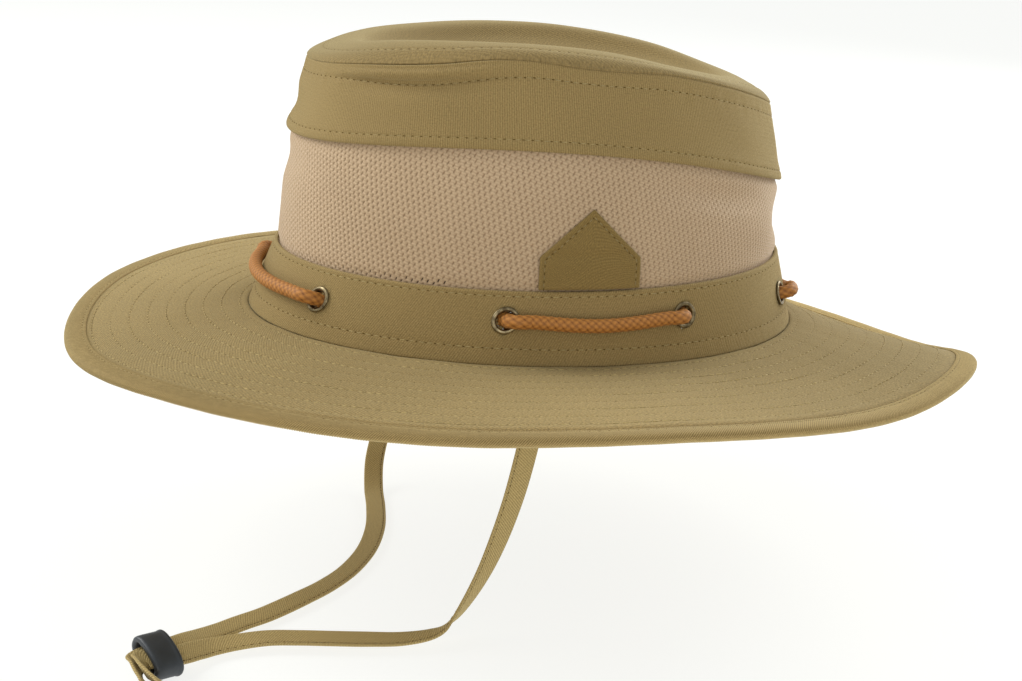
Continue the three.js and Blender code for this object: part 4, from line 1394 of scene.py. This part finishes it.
def eased(share, values):
    """A smooth curve through the tip's table of values."""
    shares = np.array(TIP_SHARES[::-1])
    points = np.array(values[::-1], float)
    share = np.asarray(share, float)
    row = np.clip(np.searchsorted(shares, share, side="right") - 1, 0, len(shares) - 2)
    slopes = np.gradient(points, shares)
    slopes[0] = 0
    width = shares[row + 1] - shares[row]
    t = (share - shares[row]) / width
    return (
        (2 * t**3 - 3 * t**2 + 1) * points[row]
        + (t**3 - 2 * t**2 + t) * width * slopes[row]
        + (3 * t**2 - 2 * t**3) * points[row + 1]
        + (t**3 - t**2) * width * slopes[row + 1]
    )


def tip(bearing, share, below=0.0):
    """A point of the tip, the share of the way from its middle to its seam."""
    edge = wall(bearing, np.full_like(bearing, 3), -0.1)
    plan = edge.copy()
    plan[..., 0] = edge[..., 0] * share
    plan[..., 1] = RINGS[3][3] + (edge[..., 1] - RINGS[3][3]) * share
    rim = edge[..., 2] + CLEARANCE + TWILL_WALL * 0.7
    risen = eased(share, TIP_RISEN)
    crest = crest_height(plan[..., 0], plan[..., 1])
    plan[..., 2] = rim * (1 - risen) + crest * risen - eased(share, TIP_DENTS) - below
    near = crease(bearing) * smoothstep(share, 0.9, 1)
    plan[..., :2] *= (1 - 0.018 * near)[..., None]
    return plan


def tip_relief(bearing, share):
    """The sewn groove inside the seam and the soft unevenness of the tip."""
    groove = -0.25 * hump((share - TIP_STITCH_SHARE) / 0.016)
    uneven = 0.25 * np.sin(5 * np.radians(bearing) + 6 * share) * hump((share - 0.6) / 0.35)
    return groove + uneven


def tip_ring(bearing, kind, first, second):
    """A ring of the tip: on its face or under it, on its rolled edge, or on its flange."""
    if kind == "wall":
        return wall(bearing, first, second)
    if kind == "seam":
        drawn = np.minimum(0, crown_bulge(bearing, np.full_like(bearing, 3)))
        ring = wall(bearing, 3, first + drawn)
        ring[..., 2] += second
        return ring
    ring = tip(bearing, np.full_like(bearing, first), second)
    if kind == "top":
        ring[..., 2] += tip_relief(bearing, first)
    return ring


class HAT_OT_crown_tip(Operator):
    """The tip of the crown with its lengthwise dent"""

    bl_idname = "hat.crown_tip"
    bl_label = "Crown tip"

    def execute(self, context):
        cloth, _, _ = settings()
        sewn = (0.913, 0.925, TIP_STITCH_SHARE, 0.945, 0.957, 0.968, 0.978)
        section = [
            *(("top", share, 0) for share in (*np.linspace(0, 0.9, 46), *sewn)),
            ("roll", 0.988, 0.12), ("roll", 0.996, 0.4), ("roll", 1, 0.85),
            ("seam", 0.02, 0.5), ("seam", -0.06, 0.25), ("seam", -0.2, -0.1),
            ("seam", FLANGE_OUTER, 0), ("wall", 2.88, FLANGE_OUTER), ("wall", 2.88, FLANGE_INNER),
            ("wall", 2.97, FLANGE_INNER),
            *(("under", share, TWILL_WALL) for share in np.linspace(0.9, 0, 24)),
        ]
        mesh = ringed(
            "crown_tip_cloth", TIP_COLUMNS, section, tip_ring, unroll=lambda places: places[:, :2],
        )
        # Painted shade: the tip's twill is drawn darker than the rest, for the shade on the top of
        # the crown.
        finish = twill(
            "cotton_twill_tip", scaled(cloth.twill_light, 0.88), scaled(cloth.twill_shade, 0.88),
            slant=38, pitch=cloth.rib_pitch * 0.9, contrast=0.12, ribs=0.5, flecks=0.9,
        )
        piece("crown_tip_cloth", mesh, finish, ["crown_tip"])
        bearing = np.linspace(0, 360, 721)
        share = np.full_like(bearing, TIP_STITCH_SHARE)
        line = tip(bearing, share)
        line[:, 2] += tip_relief(bearing, share) + 0.05
        inward = unit(tip(bearing, share - 0.01) - tip(bearing, share + 0.01))
        along = unit(tip(bearing + 0.5, share) - tip(bearing - 0.5, share))
        normals = unit(np.cross(along, inward))
        normals = normals * np.sign(normals[:, 2:3])
        stitched("crown_tip_stitching", [{
            "line": line, "normals": normals, "length": cloth.stitch_length,
            "gap": cloth.stitch_gap, "thickness": 0.4,
        }], sewing_thread("polyester_thread_tip", cloth.thread))
        return {"FINISHED"}


# ---- tabs ----
TAB_COLUMNS = 64
TAB_ROWS = 60
TAB_FACE = TAB_WALL - 0.1
TAB_BACK = -0.1
TAB_HALF_WIDTH = 17.6
# A distance square to the sloping roof, as a share of the distance straight down from it.
TAB_ROOF_SLOPE = 0.79
LEVEL_HEIGHT = RINGS[2][0] - RINGS[1][0]
TAB_STITCH_INSET = 1.7


def browner(colour):
    """The tabs' twill, dyed darker and browner than the rest."""
    return [channel * share for channel, share in zip(colour, (0.77, 0.73, 0.58))]


def tab_rise(across):
    """The levels from the tab's foot to its top edge, from -1 to 1 across it."""
    roof = TAB_LEVELS["apex"] + (TAB_LEVELS["shoulder"] - TAB_LEVELS["apex"]) * np.abs(across)
    return roof - TAB_LEVELS["base"]


def tab_edge_distance(across, rise):
    """How far a point of the tab lies from its sides and its roof, in millimetres."""
    side = (1 - np.abs(across)) * TAB_HALF_WIDTH
    height = tab_rise(across) * LEVEL_HEIGHT
    return np.minimum(side, (1 - rise) * height * TAB_ROOF_SLOPE)


def tab_place(middle, across, rise, out):
    """A point of a side tab: across from -1 to 1, rise from its foot to its roof."""
    level = TAB_LEVELS["base"] + tab_rise(across) * rise
    fold = -0.3 * hump((level - 1.26) / 0.05) + 0.2 * hump((level - 1.33) / 0.06)
    return wall(middle + across * TAB_HALF_TURN, level, out + fold * (np.asarray(out) > 0.3))


def tab_cloth(name, middle):
    """A tab's folded cloth: the first half of its rows is its face and rounded edge, the rest is
    its back, against the mesh."""
    half = TAB_ROWS // 2

    def place(column, row):
        across = np.sin(math.pi * (column / TAB_COLUMNS - 0.5))
        outer = row <= half
        rise = np.sin(math.pi / 2 * np.where(outer, row, TAB_ROWS - row) / half)
        inset = tab_edge_distance(across, rise)
        rounded = np.clip(inset / 0.7, 0, 1)
        sewn = hump((inset - TAB_STITCH_INSET) / 0.7)
        lift = TAB_FACE * (0.3 + 0.7 * np.sqrt(rounded * (2 - rounded))) - 0.24 * sewn
        return tab_place(middle, across, rise, np.where(outer, lift, TAB_BACK))

    return welded(closed_ends(bent_grid(name, TAB_COLUMNS, TAB_ROWS, place)))


def tab_stitches(middle):
    """The line of stitches up one side of a tab, along its roof and down the other side."""
    side = 1 - TAB_STITCH_INSET / TAB_HALF_WIDTH
    across = np.concatenate([
        np.full(40, -side), np.linspace(-side, side, 121), np.full(40, side),
    ])
    top = 1 - TAB_STITCH_INSET / (tab_rise(across) * LEVEL_HEIGHT) / TAB_ROOF_SLOPE
    climb = np.linspace(0.02, 1, 40)
    rise = top * np.concatenate([climb, np.ones(121), climb[::-1]])
    line = tab_place(middle, across, rise, np.full(len(rise), TAB_FACE - 0.2))
    return {"line": line, "normals": np.tile(wall_frame(middle, 1.3)[0], (len(line), 1))}


class HAT_OT_tabs(Operator):
    """The five-sided tabs that stand on the band at each side"""

    bl_idname = "hat.tabs"
    bl_label = "Side tabs"

    def execute(self, context):
        cloth, _, _ = settings()
        finish = twill(
            "cotton_twill_tab", browner(cloth.twill_light), browner(cloth.twill_shade),
            slant=72, pitch=cloth.rib_pitch * 0.7, contrast=0.35, ribs=0.55, flecks=0.8,
        )
        thread = sewing_thread("polyester_thread_tab", scaled(cloth.thread, 0.6))
        size = {"length": 1.7, "gap": 0.8, "thickness": 0.4, "sink": 0.02}
        for side, middle in (("left", TAB_BEARING), ("right", 360 - TAB_BEARING)):
            name = f"tab_cloth_{side}"
            piece(name, tab_cloth(name, middle), finish, [f"side_tab_{side}"])
            line = {**tab_stitches(middle), **size}
            stitched(f"tab_stitching_{side}", [line], thread)
        return {"FINISHED"}


# ---- eyelets and band cord ----
# One eyelet turned round its axis, from its washer inside the band to its rolled rim outside:
# radius and distance out.
EYELET_PROFILE = (
    (3.2, -2.65), (3.5, -2.68), (4.6, -2.62), (4.95, -2.4), (4.9, -2.1), (4.5, -2.05),
    (3.6, -2.03), (3.55, -1.6), (3.55, 0.0), (3.7, 0.25), (4.3, 0.22), (4.62, 0.3), (4.7, 0.5),
    (4.64, 0.72), (4.44, 0.88), (4.0, 0.96), (3.6, 0.94), (3.32, 0.8), (3.16, 0.5), (3.12, 0.0),
)


class HAT_OT_eyelets(Operator):
    """Brass eyelets with their washers inside the band"""

    bl_idname = "hat.eyelets"
    bl_label = "Eyelets"

    def execute(self, context):
        _, trim, _ = settings()
        finish = aged_brass("antique_brass", trim.brass_light, trim.brass_shade)
        for number, (bearing, level) in enumerate(EYELETS, 1):
            name = f"brass_eyelet_{number}"
            shape = bmesh.new()
            ring = [shape.verts.new((radius, 0, height)) for radius, height in EYELET_PROFILE]
            edges = [shape.edges.new((ring[at - 1], ring[at])) for at in range(len(ring))]
            bmesh.ops.spin(
                shape, geom=ring + edges, cent=(0, 0, 0), axis=(0, 0, 1), dvec=(0, 0, 0),
                angle=2 * math.pi, steps=40, use_merge=True, use_duplicate=False,
            )
            out, along, up = wall_frame(bearing, level)
            turn = Matrix((Vector(along), Vector(up), Vector(out))).transposed().to_4x4()
            turn.translation = Vector(wall(bearing, level))
            bmesh.ops.transform(shape, matrix=Matrix.Scale(MM, 4) @ turn, verts=shape.verts)
            mesh = welded(as_mesh(shape, name))
            piece(name, mesh, finish, [f"eyelet_{number}"])
        return {"FINISHED"}


def cord_place(bearing, level, out):
    """A point off the wall, square to its face."""
    return wall(bearing, level) + wall_frame(bearing, level)[0] * out


def crossing(place, outwards):
    """The cord's way through one eyelet, outwards or back in."""
    bearing, level = place
    out = wall_frame(bearing, level)[0]
    per_mm = 2 / np.linalg.norm(wall(bearing + 1, level) - wall(bearing - 1, level))
    way = 1 if outwards else -1
    return [
        wall(bearing + way * shift * per_mm, level) + out * lift
        for shift, lift in CORD_CROSSING[::way]
    ]


def cord_line():
    """The cord's route, from its joint inside the band round through all eyelets and back."""
    order = EYELETS[5:] + EYELETS[:5]
    points = [cord_place(*CORD_JOINT, CORD_INSIDE)]
    for index, (place, after) in enumerate(zip(order, order[1:])):
        outwards = index % 2 == 0
        points += crossing(place, outwards)
        turn = (after[0] - place[0]) % 360 - 2 * CORD_MARGIN
        count = max(1, int(turn / CORD_STEP + 0.5))
        for step in range(1, count + 1):
            share = step / (count + 1)
            level = place[1] + (after[1] - place[1]) * share
            level += CORD_LIFTS[index] * math.sin(math.pi * share)
            out = CORD_OUTSIDE if outwards else CORD_INSIDE
            points.append(cord_place(place[0] + CORD_MARGIN + turn * share, level, out))
    points += crossing(order[-1], False)
    first, inbound = points[0], points[-1]
    points.append(first + unit(inbound - first) * CORD_JOINT_GAP)
    return np.array(points)


def carried_frames(line, start):
    """Two directions square to a line, which turn with it and never twist."""
    tangents = unit(np.gradient(line, axis=0))
    across = np.array(start, float)
    frames = []
    for tangent in tangents:
        across = unit(across - tangent * across.dot(tangent))
        frames.append(across)
    frames = np.array(frames)
    return frames, np.cross(tangents, frames)


CORD_SIDES = 30
BRAID_STRANDS = 6
BRAID_LAY = 2.7
BRAID_RELIEF = 0.4
# Squeezed through an eyelet, the braid bunches up and fills its barrel: how far in from the band's
# face that is, how far along it reaches, and the share it adds to the radius.
BARREL_DEPTH = -2.5
BARREL_REACH = 2.8
BARREL_FILL = 0.3
CORD_END_TAPER = 1.2


def braid_height(turn, run):
    """How high the plaits stand, from 0 to 1, each family going over and under the other."""
    one = BRAID_STRANDS * turn / 2 + math.pi * run / BRAID_LAY
    other = BRAID_STRANDS * turn / 2 - math.pi * run / BRAID_LAY
    over = np.cos(one) * np.cos(other)
    first = 0.62 * np.sqrt(np.abs(np.cos(one))) + 0.38 * over
    second = 0.62 * np.sqrt(np.abs(np.cos(other))) - 0.38 * over
    return np.clip(np.maximum(first, second), 0, 1)


class HAT_OT_band_cord(Operator):
    """Braided cord laced out and in through the eyelets"""

    bl_idname = "hat.band_cord"
    bl_label = "Band cord"

    def execute(self, context):
        _, trim, _ = settings()
        line = curve_through(cord_line(), 0.4)
        across, other = carried_frames(line, (0, 0, 1))
        run = running_length(line)
        barrels = np.array([cord_place(*eyelet, BARREL_DEPTH) for eyelet in EYELETS])
        apart = np.linalg.norm(line[:, None] - barrels[None], axis=-1).min(1)
        plump = CORD_RADIUS * (0.96 + BARREL_FILL * hump(apart / BARREL_REACH))
        ends = np.minimum(run, run[-1] - run)
        taper = np.sqrt(np.clip(ends / CORD_END_TAPER, 0, 1))
        rows = len(line) - 1
        columns_at, rows_at = grid_numbers(CORD_SIDES, rows)
        height = braid_height(2 * math.pi * columns_at / CORD_SIDES, run[rows_at])

        def place(column, row):
            turn = 2 * math.pi * column / CORD_SIDES
            radius = (plump[row] + BRAID_RELIEF * (height - 0.75)) * taper[row]
            return (
                line[row]
                + across[row] * (radius * np.cos(turn))[..., None]
                + other[row] * (radius * np.sin(turn))[..., None]
            )

        mesh = welded(bent_grid("braided_cord", CORD_SIDES, rows, place, relief=height))
        finish = braid("waxed_cotton_braid", trim.cord_light, trim.cord_shade)
        piece("braided_cord", mesh, finish, ["band_cord"])
        return {"FINISHED"}


# ---- chin strap and slider ----
# The folded tape's upper half, from its folded edge past the sewn groove to its other edge: place
# across and height. The lower half mirrors it.
STRAP_SECTION = (
    (-4, 0), (-3.93, 0.3), (-3.7, 0.46), (-3.2, 0.5), (-2.85, 0.36), (-2.5, 0.5), (-1.6, 0.54),
    (-0.6, 0.54), (0.6, 0.54), (1.8, 0.54), (3, 0.52), (3.65, 0.48), (3.9, 0.32), (4, 0.06),
)
STRAP_SEAM = (3.96, 0)
STRAP_STITCH = 2.95


class HAT_OT_chin_strap(Operator):
    """Chin strap of folded twill tape, with its slider"""

    bl_idname = "hat.chin_strap"
    bl_label = "Chin strap"

    def execute(self, context):
        cloth, trim, _ = settings()
        route = curve_through(STRAP_ROUTE, 0.55)
        line = route[:, :3]
        tangents = unit(np.gradient(line, axis=0))
        across = route[:, 3:]
        across = unit(across - tangents * np.sum(across * tangents, 1, keepdims=True))
        normal = unit(np.cross(across, tangents))
        lower = [(wide, -deep) for wide, deep in STRAP_SECTION[::-1]]
        wide, deep = np.array([*STRAP_SECTION, STRAP_SEAM, *lower]).T
        wide = -wide

        def place(column, row):
            side = np.sign(deep[column])
            rib = 0.02 * np.cos(2 * math.pi * (row * 0.5 + wide[column] * 0.7 * side))
            lift = deep[column] + rib * side
            return (
                line[row] + across[row] * wide[column][..., None] + normal[row] * lift[..., None]
            )

        tape = bent_grid("strap_tape", len(wide) - 1, len(line) - 1, place)
        finish = twill(
            "cotton_twill_tape", trim.strap_light, trim.strap_shade,
            slant=55, pitch=cloth.rib_pitch * 0.8, contrast=0.65, ribs=0.6, flecks=0.7,
        )
        strap = piece("strap_tape", welded(closed_ends(tape)), finish, ["chin_strap"])
        lines = []
        for side in (1, -1):
            sewn = line + across * STRAP_STITCH + normal * (side * 0.42)
            lines.append({
                "line": sewn[::4], "normals": normal[::4] * side, "length": 2.0, "gap": 0.7,
                "thickness": 0.42, "sink": 0.08,
            })
        thread = sewing_thread("polyester_thread_strap", scaled(trim.strap_light, 0.4))
        stitching = stitched("strap_stitching", lines, thread)
        slider = make_slider(trim)
        path = line * MM
        float(running_length(path)[-1])
        return {"FINISHED"}


SLIDER_SIDES = 56

# The sleeve's outside from its thick rim to its far end, then its inside back again: place along
# it, half width, half height, and how square its oval is, from 2 for an ellipse.
SLIDER_SECTION = (
    (-4.6, 7.75, 2.7, 4.0), (-4.95, 8.1, 3.3, 3.2), (-5.0, 8.4, 3.9, 2.6),
    (-4.8, 8.75, 4.55, 2.4), (-4.3, 8.9, 4.98, 2.4), (-3.7, 8.88, 4.96, 2.4),
    (-3.2, 8.72, 4.75, 2.4), (-2.6, 8.66, 4.66, 2.4), (-0.5, 8.66, 4.66, 2.4),
    (2.0, 8.66, 4.7, 2.4), (3.9, 8.6, 4.66, 2.4), (4.7, 8.4, 4.42, 2.4), (5.05, 8.0, 4.0, 2.4),
    (5.1, 7.3, 3.2, 2.6), (4.95, 6.7, 2.5, 3.0), (4.4, 6.3, 2.15, 3.5), (3.0, 6.3, 2.15, 4.0),
    (0, 7.2, 2.5, 4.0), (-4.6, 7.75, 2.7, 4.0),
)


def squared(wave, squareness):
    """A sine or cosine bent so that its circle turns into a squared one."""
    return np.sign(wave) * np.abs(wave) ** (2 / squareness)


def make_slider(trim):
    """The oval sleeve that both runs of the strap pass through."""
    ahead = unit(SLIDER_ALONG)
    up = unit(np.cross(SLIDER_ACROSS, -ahead))
    across = np.cross(-ahead, up)

    def place(column, row):
        turn = 2 * math.pi * column / SLIDER_SIDES
        along, half_width, half_height, square = np.moveaxis(np.array(SLIDER_SECTION)[row], -1, 0)
        aside = half_width * squared(np.cos(turn), square)
        above = half_height * squared(np.sin(turn), square)
        return (
            np.array(SLIDER_CENTRE) + across * aside[..., None]
            + ahead * along[..., None] + up * above[..., None]
        )

    rows = len(SLIDER_SECTION) - 1
    mesh = welded(bent_grid("slider_sleeve", SLIDER_SIDES, rows, place))
    finish = moulded_plastic("moulded_nylon", trim.slider)
    return piece("slider_sleeve", mesh, finish, ["chin_slider"])


# ---- stage ----
# The camera stands on a circle round the hat, above it by its rise, in degrees and millimetres.
CAMERA_BEARING = 70.59
CAMERA_RISE = 11.62
CAMERA_DISTANCE = 632.46
CAMERA_TARGET = (0, 0, 30)
CAMERA_YAW = -0.35
CAMERA_PITCH = -4.03
CAMERA_ROLL = 3.76

TABLE_RADIUS = 9
TABLE_GAP = 0.0002

# Soft boxes: name, place in metres, width, power in watts and colour. All point at the hat.
SOFT_BOXES = (
    ("front_box", (-0.8, -1.5, 1.25), 1.3, 32, (1, 1, 0.98)),
    ("near_box", (1.6, -0.5, 0.15), 1.5, 9.8, (1, 1, 1)),
    ("back_box", (-0.7, 1.6, 0.9), 1.3, 30, (1, 1, 0.98)),
)
LIGHT_TARGET = (0, 0, 0.02)


def swung(first, second, degrees):
    """Two directions square to each other, turned by an angle from the first to the second."""
    angle = math.radians(degrees)
    return (
        first * math.cos(angle) + second * math.sin(angle),
        second * math.cos(angle) - first * math.sin(angle),
    )


def camera_matrix():
    """The camera's place: it looks at the hat's middle, and is then turned sideways, down and over
    by small angles."""
    azimuth, rise = math.radians(CAMERA_BEARING), math.radians(CAMERA_RISE)
    back = Vector((
        math.sin(azimuth) * math.cos(rise), -math.cos(azimuth) * math.cos(rise), math.sin(rise),
    ))
    forward = -back
    right = forward.cross(Vector((0, 0, 1))).normalized()
    up = right.cross(forward)
    forward, right = swung(forward, right, CAMERA_YAW)
    forward, up = swung(forward, up, CAMERA_PITCH)
    right, up = swung(right, up, CAMERA_ROLL)
    matrix = Matrix((right, up, -forward)).transposed().to_4x4()
    matrix.translation = (Vector(CAMERA_TARGET) + back * CAMERA_DISTANCE) * MM
    return matrix


def soft_box(name, place, width, power, colour):
    """A large square light that points at the hat."""
    light = bpy.data.lights.new(name, "AREA")
    light.shape = "RECTANGLE"
    light.size = light.size_y = width
    light.energy = power
    light.color = colour
    lamp = bpy.data.objects.new(name, light)
    lamp.location = place
    lamp.rotation_mode = "QUATERNION"
    lamp.rotation_quaternion = (Vector(LIGHT_TARGET) - Vector(place)).to_track_quat("-Z", "Y")
    bpy.context.scene.collection.objects.link(lamp)


class HAT_OT_stage(Operator):
    """White table, soft light and the camera"""

    bl_idname = "hat.stage"
    bl_label = "Stage"

    def execute(self, context):
        scene = context.scene
        _, _, stage = settings()
        low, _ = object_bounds()
        shape = bmesh.new()
        bmesh.ops.create_circle(shape, cap_ends=True, segments=96, radius=TABLE_RADIUS)
        bmesh.ops.translate(shape, verts=shape.verts, vec=(0, 0, low.z - TABLE_GAP))
        floor = bpy.data.objects.new("table_top", as_mesh(shape, "table_top"))
        # Opal acrylic lit from below, as on a studio table: white and nearly without shadow.
        material, _ = new_material("lit_acrylic_table")
        floor.data.materials.append(surfaced(material, {
            "Base Color": opaque(scaled(stage.floor, 0.25)), "Roughness": 0.7,
            "Specular IOR Level": 0.1, "Emission Color": opaque(stage.floor),
            "Emission Strength": stage.floor_glow,
        }))
        scene.collection.objects.link(floor)
        floor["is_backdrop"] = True
        world = bpy.data.worlds.new("white_surround")
        world.use_nodes = True
        back = world.node_tree.nodes["Background"]
        back.inputs["Color"].default_value = opaque(linear("#fdfefb"))
        back.inputs["Strength"].default_value = stage.surround
        scene.world = world
        for box in SOFT_BOXES:
            soft_box(*box)
        camera = bpy.data.cameras.new("camera")
        camera.lens = stage.focal
        camera.sensor_width = 36
        camera.clip_start, camera.clip_end = 0.01, 60
        eye = bpy.data.objects.new("camera", camera)
        eye.matrix_world = camera_matrix()
        scene.collection.objects.link(eye)
        scene.camera = eye
        scene.view_settings.view_transform = "Standard"
        return {"FINISHED"}


class HAT_PT_panel(Panel):
    """Builds the hat's pieces and holds their settings"""

    bl_idname = "HAT_PT_panel"
    bl_label = "Outback hat"
    bl_space_type = "VIEW_3D"
    bl_region_type = "UI"
    bl_category = "Outback hat"

    def draw(self, context):
        layout = self.layout
        for operator in OPERATORS:
            layout.operator(operator.bl_idname)
        for group in settings():
            box = layout.box()
            for name in group.__annotations__:
                box.prop(group, name)


OPERATORS = (
    HAT_OT_stage, HAT_OT_chin_strap, HAT_OT_brim, HAT_OT_binding, HAT_OT_hat_band,
    HAT_OT_crown_band, HAT_OT_mesh_panel, HAT_OT_crown_tip, HAT_OT_tabs, HAT_OT_eyelets,
    HAT_OT_band_cord,
)
GROUPS = (ClothSettings, TrimSettings, StageSettings)
CLASSES = GROUPS + OPERATORS + (HAT_PT_panel,)


def register():
    for item in CLASSES:
        bpy.utils.register_class(item)
    bpy.types.Scene.hat_cloth = PointerProperty(type=ClothSettings)
    bpy.types.Scene.hat_trim = PointerProperty(type=TrimSettings)
    bpy.types.Scene.hat_stage = PointerProperty(type=StageSettings)


def unregister():
    del bpy.types.Scene.hat_cloth
    del bpy.types.Scene.hat_trim
    del bpy.types.Scene.hat_stage
    for item in reversed(CLASSES):
        bpy.utils.unregister_class(item)


def main():
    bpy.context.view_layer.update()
    register()
    bpy.ops.hat.stage()
    bpy.ops.hat.chin_strap()
    bpy.ops.hat.brim()
    bpy.ops.hat.binding()
    bpy.ops.hat.band()
    bpy.ops.hat.crown_band()
    bpy.ops.hat.mesh_panel()
    bpy.ops.hat.crown_tip()
    bpy.ops.hat.tabs()
    bpy.ops.hat.eyelets()
    bpy.ops.hat.band_cord()


if __name__ == "__main__":
    main()
